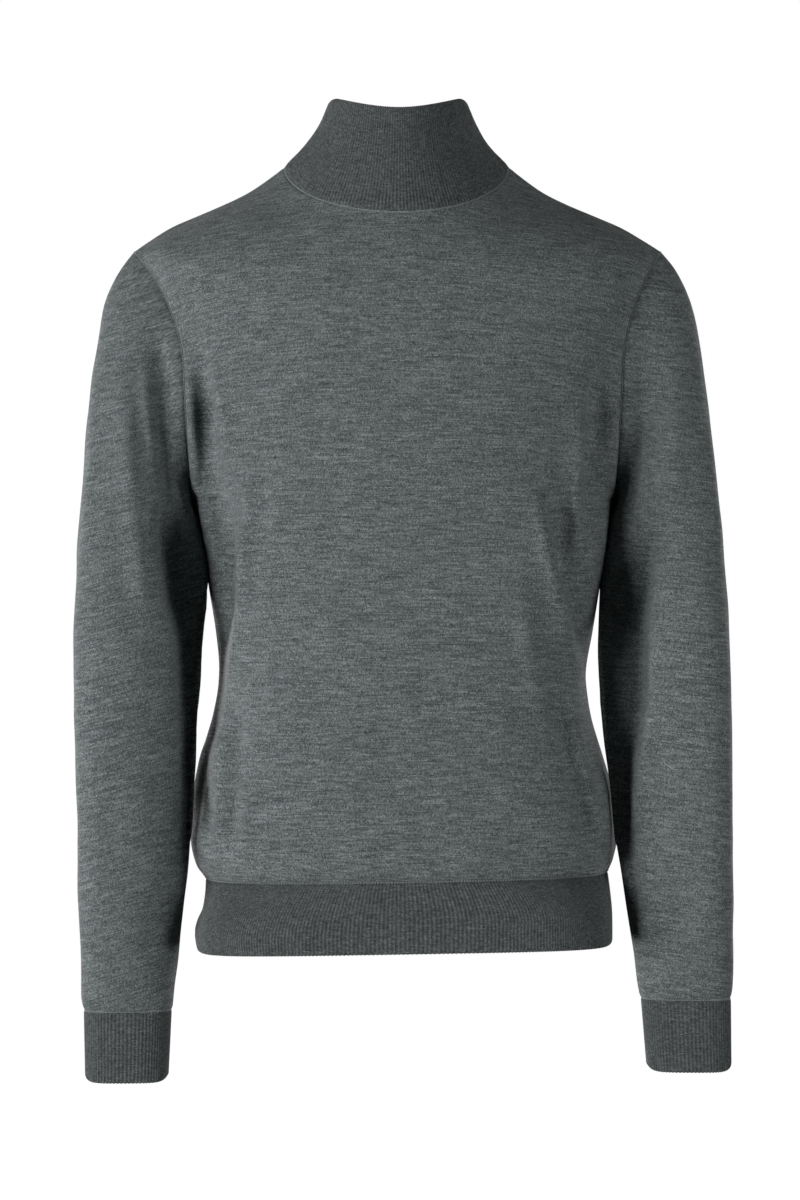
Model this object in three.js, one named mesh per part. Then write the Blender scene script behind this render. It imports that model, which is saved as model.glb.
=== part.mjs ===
// A fine knitted turtleneck sweater with set-in sleeves, hollow and filled out as if it were worn.
// Millimetres. +Z is up, the front faces -Y and the wearer's left is +X.
// The origin lies midway between the two shoulder seams, where the shoulders carry the garment.
import * as THREE from "three";

const { lerp, clamp, smoothstep } = THREE.MathUtils;

// Signs of the two sides along X and of the two faces along Y
const RIGHT = -1;
const LEFT = 1;
const FRONT = -1;
const BACK = 1;
const QUARTER = Math.PI / 2;

// Cloth
const JERSEY_WALL = 1.5;
const RIB_WALL = 2;
const RIB_PITCH = 2.3;
const RIB_RISE = 0.5;
const SEAM_GAP = 0.4;
const ARMHOLE_GAP = 0.9;
const COLLAR_GAP = 0.7;

// How finely each piece is drawn
const PANEL_COLUMNS = 28;
const TRUNK_STEPS = 9;
const ARMHOLE_STEPS = 11;
const SHOULDER_STEPS = 4;
const SLEEVE_STEPS = 18;
const COLLAR_STEPS = 3;
const HEM_STEPS = 1;
const CUFF_STEPS = 1;
const RIBS_PER_STEP = 6;
const MEASURED_POINTS = 64;
const MID_HEIGHT = 0.5;

// Trunk of the body between the hem rib and the armpits: the reach of each side, the front and the back
const ARMPIT_Z = -245;
const TRUNK = [
  { z: -563, right: 164, left: 177, front: 109, back: 99, square: 0.05 },
  { z: -552, right: 172, left: 180, front: 115, back: 104, square: 0.05 },
  { z: -530, right: 177, left: 183, front: 118, back: 107, square: 0.05 },
  { z: -498, right: 175, left: 181.5, front: 117, back: 106, square: 0.05 },
  { z: -462, right: 168, left: 173, front: 113, back: 102, square: 0.05 },
  { z: -427, right: 158, left: 163, front: 109, back: 98, square: 0.05 },
  { z: -393, right: 153, left: 159, front: 107, back: 96, square: 0.05 },
  { z: -356, right: 156, left: 165, front: 108, back: 96, square: 0.05 },
  { z: -319, right: 162, left: 171, front: 110, back: 99, square: 0.06 },
  { z: -282, right: 167, left: 176, front: 113, back: 102, square: 0.06 },
  { z: ARMPIT_Z, right: 173, left: 180, front: 115, back: 105, square: 0.05 },
];
const HEM_TILT = 3;
const HEM_TILT_TOP_Z = -440;

// Shoulder seam from the tip to the neck, with the centre of the front and of the back at the same row
const SHOULDER = [
  { right: 225.5, left: 223, z: -34, front: 99, frontZ: -62, back: 101, backZ: -44, neck: 0 },
  { right: 195.5, left: 190.5, z: -14, front: 95, frontZ: -49, back: 98, backZ: -22, neck: 0.15 },
  { right: 161, left: 155, z: 1, front: 90, frontZ: -36, back: 93, backZ: 1, neck: 0.4 },
  { right: 127.5, left: 122, z: 17, front: 84, frontZ: -22, back: 84, backZ: 23, neck: 0.7 },
  { right: 97.5, left: 93.5, z: 38, front: 78, frontZ: -8, back: 73, backZ: 44, neck: 1 },
];

// Armhole: how far it bows forward and back, and where along it the edge swings out to the shoulder tip
const ARMHOLE = {
  front: { bow: 46, drift: 7, swingFrom: 0.5, swingTo: 1 },
  back: { bow: 52, drift: 13, swingFrom: 0.4, swingTo: 1 },
};

// Each sleeve from the armhole to the cuff: its outer and inner edge, its reach to the front and back,
// and how far its inner side leans back for each millimetre of width
const SLEEVES = {
  right: [
    { outer: 225.5, outerZ: -34, inner: 173, innerZ: -245, front: 46, back: 52, lean: 0 },
    { outer: 239, outerZ: -52, inner: 173.4, innerZ: -249, front: 49, back: 51, lean: 0.02 },
    { outer: 250, outerZ: -80, inner: 172.2, innerZ: -256, front: 52, back: 50, lean: 0.06 },
    { outer: 257.3, outerZ: -120, inner: 170.8, innerZ: -266, front: 56, back: 48, lean: 0.11 },
    { outer: 263.3, outerZ: -172, inner: 168.4, innerZ: -281, front: 60, back: 44, lean: 0.16 },
    { outer: 268.1, outerZ: -235, inner: 164.8, innerZ: -304, front: 64, back: 38, lean: 0.2 },
    { outer: 272.1, outerZ: -303, inner: 164.8, innerZ: -337, front: 70, back: 28, lean: 0.24 },
    { outer: 273.4, outerZ: -367, inner: 168, innerZ: -382, front: 75, back: 16, lean: 0.26 },
    { outer: 272.2, outerZ: -432, inner: 171.3, innerZ: -438, front: 78, back: 6, lean: 0.27 },
    { outer: 270.1, outerZ: -490, inner: 173.6, innerZ: -491, front: 81, back: -3, lean: 0.27 },
    { outer: 268.9, outerZ: -535, inner: 176, innerZ: -535, front: 81, back: -8, lean: 0.26 },
    { outer: 268.5, outerZ: -585, inner: 181.2, innerZ: -585, front: 79, back: -12, lean: 0.24 },
    { outer: 266.4, outerZ: -635, inner: 186.3, innerZ: -635, front: 75, back: -17, lean: 0.2 },
    { outer: 266.2, outerZ: -663, inner: 189.3, innerZ: -663, front: 71, back: -20, lean: 0.14 },
    { outer: 264.1, outerZ: -674, inner: 190.8, innerZ: -674, front: 67, back: -21, lean: 0.08 },
  ],
  left: [
    { outer: 223, outerZ: -34, inner: 180, innerZ: -245, front: 46, back: 52, lean: 0 },
    { outer: 236.5, outerZ: -52, inner: 180.6, innerZ: -249, front: 49, back: 51, lean: 0.02 },
    { outer: 248.5, outerZ: -80, inner: 179.8, innerZ: -256, front: 52, back: 50, lean: 0.06 },
    { outer: 255.8, outerZ: -120, inner: 178.8, innerZ: -266, front: 56, back: 48, lean: 0.11 },
    { outer: 262.6, outerZ: -172, inner: 177.2, innerZ: -281, front: 60, back: 44, lean: 0.16 },
    { outer: 269.1, outerZ: -235, inner: 173.8, innerZ: -304, front: 64, back: 38, lean: 0.2 },
    { outer: 274.6, outerZ: -303, inner: 169.8, innerZ: -337, front: 70, back: 28, lean: 0.24 },
    { outer: 278, outerZ: -367, inner: 168.8, innerZ: -382, front: 75, back: 16, lean: 0.26 },
    { outer: 279.1, outerZ: -432, inner: 172.8, innerZ: -438, front: 78, back: 6, lean: 0.27 },
    { outer: 279.2, outerZ: -490, inner: 179, innerZ: -490, front: 81, back: -3, lean: 0.27 },
    { outer: 279.4, outerZ: -535, inner: 183, innerZ: -535, front: 81, back: -8, lean: 0.26 },
    { outer: 279.6, outerZ: -580, inner: 190.2, innerZ: -580, front: 79, back: -12, lean: 0.24 },
    { outer: 280, outerZ: -622, inner: 196.5, innerZ: -622, front: 75, back: -17, lean: 0.2 },
    { outer: 280, outerZ: -653, inner: 200.8, innerZ: -653, front: 71, back: -20, lean: 0.14 },
    { outer: 278, outerZ: -664, inner: 203, innerZ: -664, front: 67, back: -21, lean: 0.08 },
  ],
};
const SLEEVE_SQUARE = 0.03;
const ARMHOLE_FADE = 4;

// Rib bands, each from its seam to its free edge
const CUFFS = {
  right: [
    { outer: 264, inner: 191.6, front: 66, back: -22, lean: 0.08, z: -674, square: 0.06, lift: 0 },
    { outer: 263, inner: 194.2, front: 64.5, back: -23.5, lean: 0.05, z: -734, square: 0.06, lift: 5 },
  ],
  left: [
    { outer: 278, inner: 203.8, front: 66, back: -22, lean: 0.08, z: -664, square: 0.06, lift: 0 },
    { outer: 278.6, inner: 208.4, front: 64.5, back: -23.5, lean: 0.05, z: -725, square: 0.06, lift: 5 },
  ],
};
const HEM = [
  { z: -563, right: 163.5, left: 176.5, front: 108, back: 98, square: 0.05, lift: 0 },
  { z: -622, right: 171.5, left: 180, front: 110.5, back: 100.5, square: 0.05, lift: 7 },
];
const COLLAR = [
  { right: 97.5, left: 93.5, sideZ: 38, front: 78, frontZ: -8, back: 73, backZ: 44, neck: 1 },
  { right: 79.5, left: 75.5, sideZ: 57.5, front: 72.5, frontZ: 22, back: 66, backZ: 60, neck: 0.7 },
  { right: 67.5, left: 65.5, sideZ: 76, front: 68.5, frontZ: 51, back: 59, backZ: 76, neck: 0.4 },
  { right: 60, left: 58, sideZ: 96, front: 66, frontZ: 81, back: 53, backZ: 93, neck: 0 },
];

// The largest folds as seen from the front or the back, each a soft ridge (positive rise) or trough
const BODY_FOLDS = [
  { face: FRONT, x0: -178, z0: -105, x1: -166, z1: -290, rise: 3, half: 9 },
  { face: FRONT, x0: -167, z0: -130, x1: -144, z1: -370, rise: -5, half: 10 },
  { face: FRONT, x0: -150, z0: -160, x1: -134, z1: -330, rise: 2.5, half: 10 },
  { face: FRONT, x0: -137, z0: -400, x1: -156, z1: -552, rise: -5, half: 10 },
  { face: FRONT, x0: -157, z0: -455, x1: -165, z1: -545, rise: 3, half: 8 },
  { face: FRONT, x0: 186, z0: -117, x1: 170, z1: -335, rise: 3, half: 9 },
  { face: FRONT, x0: 169, z0: -150, x1: 161, z1: -285, rise: -4, half: 9 },
  { face: FRONT, x0: 137, z0: -215, x1: 138, z1: -330, rise: -3, half: 10 },
  { face: FRONT, x0: 114, z0: -250, x1: 176, z1: -558, rise: -6, half: 12 },
  { face: FRONT, x0: 128, z0: -300, x1: 178, z1: -530, rise: 3, half: 9 },
  { face: BACK, x0: -166, z0: -120, x1: -140, z1: -430, rise: -5, half: 13 },
  { face: BACK, x0: 170, z0: -125, x1: 146, z1: -420, rise: -5, half: 13 },
  { face: BACK, x0: -112, z0: -300, x1: -150, z1: -556, rise: -5, half: 13 },
  { face: BACK, x0: 105, z0: -310, x1: 154, z1: -556, rise: -5, half: 13 },
  { face: BACK, x0: -40, z0: -330, x1: -52, z1: -545, rise: -3.5, half: 16 },
  { face: BACK, x0: 48, z0: -350, x1: 58, z1: -548, rise: -3, half: 16 },
];
const SLEEVE_FOLDS = {
  right: [
    { face: FRONT, x0: -204, z0: -100, x1: -190, z1: -290, rise: -8, half: 11 },
    { face: FRONT, x0: -242, z0: -125, x1: -206, z1: -360, rise: 3, half: 11 },
    { face: BACK, x0: -210, z0: -110, x1: -196, z1: -300, rise: -6, half: 13 },
    { face: BACK, x0: -262, z0: -330, x1: -196, z1: -395, rise: -4, half: 12 },
  ],
  left: [
    { face: FRONT, x0: 206, z0: -98, x1: 187, z1: -300, rise: -8, half: 11 },
    { face: FRONT, x0: 227, z0: -270, x1: 216, z1: -350, rise: -4, half: 9 },
    { face: BACK, x0: 212, z0: -110, x1: 200, z1: -300, rise: -6, half: 13 },
    { face: BACK, x0: 268, z0: -340, x1: 202, z1: -400, rise: -4, half: 12 },
  ],
};
const FOLD_TAPER = 0.3;
const SEAM_HOLD = 10;
const SLEEVE_FOLD_ENDS = { top: 3, cuff: 2, side: 0.4 };
const CORNER_LIFT = 6;

// A share of the way through a list of rows, on a smooth curve through every named column.
function rowAt(rows, share) {
  const at = clamp(share, 0, 1) * (rows.length - 1);
  const first = Math.min(Math.floor(at), rows.length - 2);
  const t = at - first;
  const near = [-1, 0, 1, 2].map((step) => rows[clamp(first + step, 0, rows.length - 1)]);
  const through = (a, b, c, d) =>
    b + 0.5 * t * (c - a + t * (2 * a - 5 * b + 4 * c - d + t * (3 * (b - c) + d - a)));
  const made = {};
  for (const column of Object.keys(near[1])) made[column] = through(...near.map((row) => row[column]));
  return made;
}

// Unit width and depth of a rounded section at an angle from its centre line; square fills its corners.
const wide = (angle, square) => (Math.sin(angle) + square * Math.sin(3 * angle)) / (1 - square);
const deep = (angle, square) => (Math.cos(angle) - square * Math.cos(3 * angle)) / (1 - square);

// A point of half a section: share 0 is its centre line and share 1 its edge.
function sectionPoint(share, edgeX, edgeY, depth, square) {
  const whole = Math.acos(clamp(edgeY / depth, 0, 1));
  const angle = share * whole;
  const drop = (deep(angle, square) - 1) / (deep(whole, square) - 1);
  return [(edgeX * wide(angle, square)) / wide(whole, square), depth + (edgeY - depth) * drop];
}

// How far a row has risen from its centre to its edge: level at a shoulder, steep beside the neck.
const riseOf = (share, neck) => lerp(smoothstep(share, 0, 1), 1 - Math.cos(share * QUARTER), neck);

// One row of the front or back panel, as its two edges and its centre.
function panelRow(section, facing) {
  return Array.from({ length: PANEL_COLUMNS + 1 }, (_, column) => {
    const across = (2 * column) / PANEL_COLUMNS - 1;
    const share = Math.abs(across);
    const edge = across < 0 ? section.right : section.left;
    const [x, y] = sectionPoint(share, edge.x, edge.y, section.depth, section.square);
    const z = lerp(section.centreZ, edge.z, riseOf(share, section.neck));
    return new THREE.Vector3(Math.sign(across) * x, facing * y, z);
  });
}

// Edge of the armhole on the front or back panel: share 0 is the armpit and share 1 the shoulder tip.
function armholeEdge(share, side, facing) {
  const { bow, drift, swingFrom, swingTo } = ARMHOLE[facing === FRONT ? "front" : "back"];
  const armpit = TRUNK[TRUNK.length - 1][side];
  const tip = SHOULDER[0];
  const swing = smoothstep(share, swingFrom, swingTo);
  const x = armpit + drift * Math.min(share / swingFrom, 1) * (1 - swing) + (tip[side] - armpit) * swing;
  const y = SEAM_GAP / 2 + bow * Math.sin(Math.PI * share);
  return { x, y, z: lerp(ARMPIT_Z, tip.z, (1 - Math.cos(Math.PI * share)) / 2) };
}

// How far the hem end of the body tips down to the wearer's right.
const tiltAt = (x, z) => ((HEM_TILT * x) / TRUNK[0].left) * smoothstep(-z, -HEM_TILT_TOP_Z, -TRUNK[0].z);

// Every row of the front or back panel, from the hem rib to the neckline.
function panelSections(facing) {
  const reach = facing === FRONT ? "front" : "back";
  const sections = [];
  for (let step = 0; step < TRUNK_STEPS; step++) {
    const row = rowAt(TRUNK, step / TRUNK_STEPS);
    const seam = (x) => ({ x, y: SEAM_GAP / 2, z: row.z });
    const edges = { right: seam(row.right), left: seam(row.left) };
    sections.push({ ...edges, depth: row[reach], centreZ: row.z, square: row.square, neck: 0 });
  }
  const armpit = TRUNK[TRUNK.length - 1];
  const tip = SHOULDER[0];
  for (let step = 0; step < ARMHOLE_STEPS; step++) {
    const share = step / ARMHOLE_STEPS;
    const edges = { right: armholeEdge(share, "right", facing), left: armholeEdge(share, "left", facing) };
    const depth = lerp(armpit[reach], tip[reach], share * share);
    const centreZ = lerp(ARMPIT_Z, tip[reach + "Z"], share);
    sections.push({ ...edges, depth, centreZ, square: lerp(armpit.square, 0, share), neck: 0 });
  }
  for (let step = 0; step <= SHOULDER_STEPS; step++) {
    const row = rowAt(SHOULDER, step / SHOULDER_STEPS);
    const seam = (x) => ({ x, y: SEAM_GAP / 2, z: row.z });
    const edges = { right: seam(row.right), left: seam(row.left) };
    sections.push({ ...edges, depth: row[reach], centreZ: row[reach + "Z"], square: 0, neck: row.neck });
  }
  return sections;
}

// Outward normals of a grid of points. A closed grid joins its last column to its first.
function normalsOf(grid, closed, outward) {
  const rows = grid.length;
  const columns = grid[0].length;
  const pick = (column) => (closed ? (column + columns) % columns : clamp(column, 0, columns - 1));
  return grid.map((line, row) =>
    line.map((_, column) => {
      const above = grid[Math.min(row + 1, rows - 1)][column];
      const up = above.clone().sub(grid[Math.max(row - 1, 0)][column]);
      const over = line[pick(column + 1)].clone().sub(line[pick(column - 1)]);
      return over.cross(up).multiplyScalar(outward).normalize();
    }),
  );
}

// How far the folds push a point of the cloth out or in, by its place in the front view.
function foldRise(point, folds, facing) {
  let rise = 0;
  for (const fold of folds) {
    if (fold.face !== facing) continue;
    const run = new THREE.Vector2(fold.x1 - fold.x0, fold.z1 - fold.z0);
    const off = new THREE.Vector2(point.x - fold.x0, point.z - fold.z0);
    const along = off.dot(run) / run.lengthSq();
    const beside = Math.abs(off.cross(run)) / run.length();
    const ends = smoothstep(along, 0, FOLD_TAPER) * smoothstep(1 - along, 0, FOLD_TAPER);
    rise += fold.rise * ends * Math.exp(-((beside / fold.half) ** 2));
  }
  return rise;
}

// Moves each point of a grid out along its normal.
const pushOut = (grid, normals, amount) =>
  grid.map((line, row) =>
    line.map((point, column) => {
      const normal = normals[row][column];
      return point.clone().addScaledVector(normal, amount(point, row, column));
    }),
  );

// Collects triangles, and turns them into a geometry.
class Shell {
  points = [];
  faces = [];

  // Adds a grid of points and returns their numbers.
  grid(lines) {
    return lines.map((line) => line.map((point) => this.points.push(point.x, point.y, point.z) / 3 - 1));
  }

  // Faces between neighbouring lines of a grid, turned over when flip is true.
  skin(lines, closed, flip) {
    const columns = lines[0].length;
    for (let row = 0; row + 1 < lines.length; row++) {
      for (let column = 0; column < (closed ? columns : columns - 1); column++) {
        const next = (column + 1) % columns;
        const [a, b] = [lines[row][column], lines[row][next]];
        const [c, d] = [lines[row + 1][next], lines[row + 1][column]];
        this.quad(a, b, c, d, flip);
      }
    }
  }

  quad(a, b, c, d, flip) {
    this.triangle(a, b, c, flip);
    this.triangle(a, c, d, flip);
  }

  triangle(a, b, c, flip) {
    this.faces.push(...(flip ? [a, c, b] : [a, b, c]));
  }

  // Joins a fine line to a plain one that has one point for every ratio points of the fine line.
  rim(fine, plain, ratio, closed, flip) {
    const spans = closed ? plain.length : plain.length - 1;
    for (let span = 0; span < spans; span++) {
      const [here, there] = [plain[span], plain[(span + 1) % plain.length]];
      const middle = Math.floor(ratio / 2);
      for (let step = 0; step < ratio; step++) {
        const [from, to] = [fine[span * ratio + step], fine[(span * ratio + step + 1) % fine.length]];
        if (step === middle) this.triangle(here, from, there, flip);
        this.triangle(step < middle ? here : there, from, to, flip);
      }
    }
  }

  geometry() {
    const made = new THREE.BufferGeometry();
    made.setAttribute("position", new THREE.Float32BufferAttribute(this.points, 3));
    made.setIndex(this.faces);
    made.computeVertexNormals();
    return made;
  }
}

// A closed wall of cloth between an outer grid and an inner one. The outer may be finer across by ratio.
function wall(outer, inner, { closed = false, ratio = 1, flip = false } = {}) {
  const shell = new Shell();
  const out = shell.grid(outer);
  const back = shell.grid(inner);
  shell.skin(out, closed, flip);
  shell.skin(back, closed, !flip);
  shell.rim(out[0], back[0], ratio, closed, !flip);
  shell.rim(out.at(-1), back.at(-1), ratio, closed, flip);
  if (!closed) {
    for (let row = 0; row + 1 < out.length; row++) {
      const last = [out[row].at(-1), out[row + 1].at(-1), back[row + 1].at(-1), back[row].at(-1)];
      shell.quad(...last.toReversed(), flip);
      shell.quad(out[row][0], out[row + 1][0], back[row + 1][0], back[row][0], flip);
    }
  }
  return shell.geometry();
}

// Front or back panel of plain knit.
function panel(facing) {
  const sections = panelSections(facing);
  const plain = sections.map((section) => panelRow(section, facing));
  const tilted = plain.map((line) => line.map((p) => new THREE.Vector3(p.x, p.y, p.z + tiltAt(p.x, p.z))));
  const nearEdge = (column) => 1 - Math.abs((2 * column) / PANEL_COLUMNS - 1) ** SEAM_HOLD;
  const folded = pushOut(tilted, normalsOf(tilted, false, -facing), (point, _, column) =>
    nearEdge(column) * foldRise(point, BODY_FOLDS, facing),
  );
  const normals = normalsOf(folded, false, -facing);
  const isSeam = (row) => row < TRUNK_STEPS || row >= TRUNK_STEPS + ARMHOLE_STEPS;
  normals.forEach((line, row) => {
    if (isSeam(row)) for (const end of [line[0], line.at(-1)]) end.setY(0).normalize();
  });
  const inner = pushOut(folded, normals, () => -JERSEY_WALL);
  return wall(folded, inner, { flip: facing === BACK });
}

// The armhole as a closed loop: from the shoulder tip down the front to the armpit and up the back.
function armholeLoop(side) {
  const loop = [];
  for (let step = 0; step < 2 * ARMHOLE_STEPS; step++) {
    const facing = step <= ARMHOLE_STEPS ? FRONT : BACK;
    const share = Math.abs(1 - step / ARMHOLE_STEPS);
    const edge = armholeEdge(share, side, facing);
    const bend = edge.y - SEAM_GAP / 2;
    loop.push(new THREE.Vector3(edge.x, facing * bend, edge.z));
  }
  return loop;
}

// A ring of the sleeve, drawn on the wearer's left: from its outer edge round the front to its inner edge.
function sleeveRing(row, count, square = SLEEVE_SQUARE) {
  const outer = new THREE.Vector3(row.outer, 0, row.outerZ);
  const inner = new THREE.Vector3(row.inner, 0, row.innerZ);
  const middle = outer.clone().add(inner).multiplyScalar(0.5);
  const half = outer.clone().sub(inner).multiplyScalar(0.5);
  return Array.from({ length: count }, (_, step) => {
    const angle = (2 * Math.PI * step) / count;
    const across = deep(angle, square);
    const leaning = -row.lean * half.x * across;
    const y = leaning + (row.back - row.front - (row.front + row.back) * wide(angle, square)) / 2;
    return middle.clone().addScaledVector(half, across).setY(y);
  });
}

// Sleeve of plain knit, from the armhole to the cuff seam.
function sleeve(side) {
  const rows = SLEEVES[side];
  const mirror = side === "right" ? RIGHT : LEFT;
  const count = 2 * ARMHOLE_STEPS;
  const loop = armholeLoop(side);
  const start = sleeveRing(rows[0], count);
  const grid = [];
  for (let step = 0; step <= SLEEVE_STEPS; step++) {
    const share = step / SLEEVE_STEPS;
    const ring = sleeveRing(rowAt(rows, share), count);
    const keep = Math.max(0, 1 - (share * (rows.length - 1)) / ARMHOLE_FADE) ** 2;
    ring.forEach((point, index) => {
      point.addScaledVector(loop[index].clone().sub(start[index]), keep);
      point.x = mirror * (point.x + (step === 0 ? ARMHOLE_GAP : 0));
    });
    if (step === SLEEVE_STEPS) for (const point of ring) point.z += SEAM_GAP / 2;
    grid.push(ring);
  }
  const normals = normalsOf(grid, true, mirror);
  const folded = pushOut(grid, normals, (point, row, column) => {
    const facing = Math.sin((2 * Math.PI * column) / count);
    const turned = smoothstep(Math.abs(facing), 0, SLEEVE_FOLD_ENDS.side);
    const { top, cuff: bottom } = SLEEVE_FOLD_ENDS;
    const away = smoothstep(row, 0, top) * smoothstep(SLEEVE_STEPS - row, 0, bottom);
    return away * turned * foldRise(point, SLEEVE_FOLDS[side], facing > 0 ? FRONT : BACK);
  });
  const inner = pushOut(folded, normalsOf(folded, true, mirror), () => -JERSEY_WALL);
  return wall(folded, inner, { closed: true, flip: mirror === RIGHT });
}

// Length of a line of points.
function lengthOf(points, closed) {
  const ends = closed ? [...points, points[0]] : points;
  return ends.slice(1).reduce((sum, point, index) => sum + point.distanceTo(ends[index]), 0);
}

// A ribbed band. lineAt(share, count) gives the points of one line across it, at a share of its height.
function ribBand(lineAt, { steps, closed, outward, flip }) {
  const length = lengthOf(lineAt(MID_HEIGHT, MEASURED_POINTS), closed);
  const plainCount = Math.round(length / RIB_PITCH / RIBS_PER_STEP);
  const ratio = 2 * RIBS_PER_STEP;
  const lines = (count) => Array.from({ length: steps + 1 }, (_, step) => lineAt(step / steps, count));
  const fine = lines(plainCount * ratio);
  const outer = pushOut(fine, normalsOf(fine, closed, outward), (_, row, column) =>
    column % 2 === 0 ? 0 : RIB_RISE,
  );
  const plain = lines(plainCount);
  const normals = normalsOf(plain, closed, outward);
  if (!closed) for (const line of normals) for (const end of [line[0], line.at(-1)]) end.setY(0).normalize();
  const inner = pushOut(plain, normals, () => -RIB_WALL);
  return wall(outer, inner, { closed, ratio, flip });
}

// Front or back half of the hem rib.
function hemRib(facing) {
  const reach = facing === FRONT ? "front" : "back";
  const lineAt = (share, count) => {
    const row = rowAt(HEM, share);
    const isTop = share === 0;
    return Array.from({ length: count + 1 }, (_, column) => {
      const across = (2 * column) / count - 1;
      const edge = across < 0 ? row.right : row.left;
      const [x, y] = sectionPoint(Math.abs(across), edge, SEAM_GAP / 2, row[reach], row.square);
      const z = row.z + row.lift * across ** CORNER_LIFT - (isTop ? SEAM_GAP : 0);
      return new THREE.Vector3(Math.sign(across) * x, facing * y, z + tiltAt(Math.sign(across) * x, row.z));
    });
  };
  return ribBand(lineAt, { steps: HEM_STEPS, closed: false, outward: facing, flip: facing === FRONT });
}

// Cuff rib at the end of a sleeve.
function cuff(side) {
  const mirror = side === "right" ? RIGHT : LEFT;
  const lineAt = (share, count) => {
    const row = rowAt(CUFFS[side], share);
    const flat = { ...row, outerZ: row.z, innerZ: row.z };
    return sleeveRing(flat, count, row.square).map((point, step) => {
      const lift = row.lift * Math.cos((2 * Math.PI * step) / count) ** CORNER_LIFT;
      const gap = share === 0 ? SEAM_GAP / 2 : 0;
      return new THREE.Vector3(mirror * point.x, point.y, point.z + lift - gap);
    });
  };
  return ribBand(lineAt, { steps: CUFF_STEPS, closed: true, outward: mirror, flip: mirror === RIGHT });
}

// Ribbed collar, from the neckline to its folded top edge.
function collar() {
  const lineAt = (share, count) => {
    const row = rowAt(COLLAR, share);
    return Array.from({ length: count }, (_, step) => {
      const angle = (2 * Math.PI * step) / count;
      const isFront = Math.cos(angle) >= 0;
      const [reach, level] = isFront ? [row.front, row.frontZ] : [row.back, row.backZ];
      const away = Math.abs(Math.asin(Math.sin(angle))) / QUARTER;
      const z = lerp(level, row.sideZ, riseOf(away, row.neck)) + (share === 0 ? COLLAR_GAP : 0);
      const side = Math.sin(angle) < 0 ? row.right : row.left;
      return new THREE.Vector3(side * Math.sin(angle), -reach * Math.cos(angle), z);
    });
  };
  return ribBand(lineAt, { steps: COLLAR_STEPS, closed: true, outward: 1, flip: false });
}

const plainKnit = new THREE.MeshStandardMaterial({ color: 0x585d5e, roughness: 0.95, metalness: 0 });
const ribKnit = new THREE.MeshStandardMaterial({ color: 0x4e5353, roughness: 0.95, metalness: 0 });

const sweater = new THREE.Group();
const pieces = [
  ["front", panel(FRONT), plainKnit],
  ["back", panel(BACK), plainKnit],
  ["sleeve_right", sleeve("right"), plainKnit],
  ["sleeve_left", sleeve("left"), plainKnit],
  ["collar", collar(), ribKnit],
  ["hem_rib_front", hemRib(FRONT), ribKnit],
  ["hem_rib_back", hemRib(BACK), ribKnit],
  ["cuff_right", cuff("right"), ribKnit],
  ["cuff_left", cuff("left"), ribKnit],
];
for (const [name, geometry, material] of pieces) {
  const mesh = new THREE.Mesh(geometry, material);
  mesh.name = name;
  sweater.add(mesh);
}

export default sweater;
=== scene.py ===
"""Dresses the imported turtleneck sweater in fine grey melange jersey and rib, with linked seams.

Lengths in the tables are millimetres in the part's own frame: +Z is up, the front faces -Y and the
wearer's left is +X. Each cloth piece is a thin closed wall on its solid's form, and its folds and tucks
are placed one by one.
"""

from __future__ import annotations

import logging
import math
from dataclasses import dataclass, field
from enum import Enum
from typing import Any

import bpy
import numpy as np
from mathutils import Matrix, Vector


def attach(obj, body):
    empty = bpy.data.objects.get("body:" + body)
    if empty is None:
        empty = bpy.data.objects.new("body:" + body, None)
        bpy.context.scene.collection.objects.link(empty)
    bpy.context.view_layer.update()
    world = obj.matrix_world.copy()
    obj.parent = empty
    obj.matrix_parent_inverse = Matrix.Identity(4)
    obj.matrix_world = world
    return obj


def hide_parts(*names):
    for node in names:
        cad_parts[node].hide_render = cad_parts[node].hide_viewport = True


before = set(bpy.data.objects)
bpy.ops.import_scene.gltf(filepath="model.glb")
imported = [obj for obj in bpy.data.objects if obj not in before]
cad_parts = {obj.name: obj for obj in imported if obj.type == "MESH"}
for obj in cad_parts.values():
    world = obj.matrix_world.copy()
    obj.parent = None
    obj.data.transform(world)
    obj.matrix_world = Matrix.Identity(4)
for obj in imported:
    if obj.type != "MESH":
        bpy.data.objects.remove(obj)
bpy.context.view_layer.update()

log = logging.getLogger("sweater")

Array = np.ndarray
Piece = bpy.types.Object
Material = bpy.types.Material
Tree = bpy.types.NodeTree
Socket = bpy.types.NodeSocket

MM = 0.001
TURN = 2 * math.pi
BODY = "root"
KNIT_MAP = "knit"
RIB_TURN = "rib_turn"
RIB_RAISED = "rib_raised"
SEAM_NORMAL = "seam_normal"
WHITE = (1, 1, 1, 1)


class Way(Enum):
    """A direction with its sign."""

    @property
    def word(self) -> str:
        """Its name in small letters."""
        return self.name.lower()


class Side(Way):
    """The wearer's side, as its sign along X."""

    RIGHT = -1
    LEFT = 1


class Face(Way):
    """Front or back, as its sign along Y."""

    FRONT = -1
    BACK = 1


class Slot(Enum):
    """The record's material slots."""

    JERSEY = "jersey"
    RIB = "rib"


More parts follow.
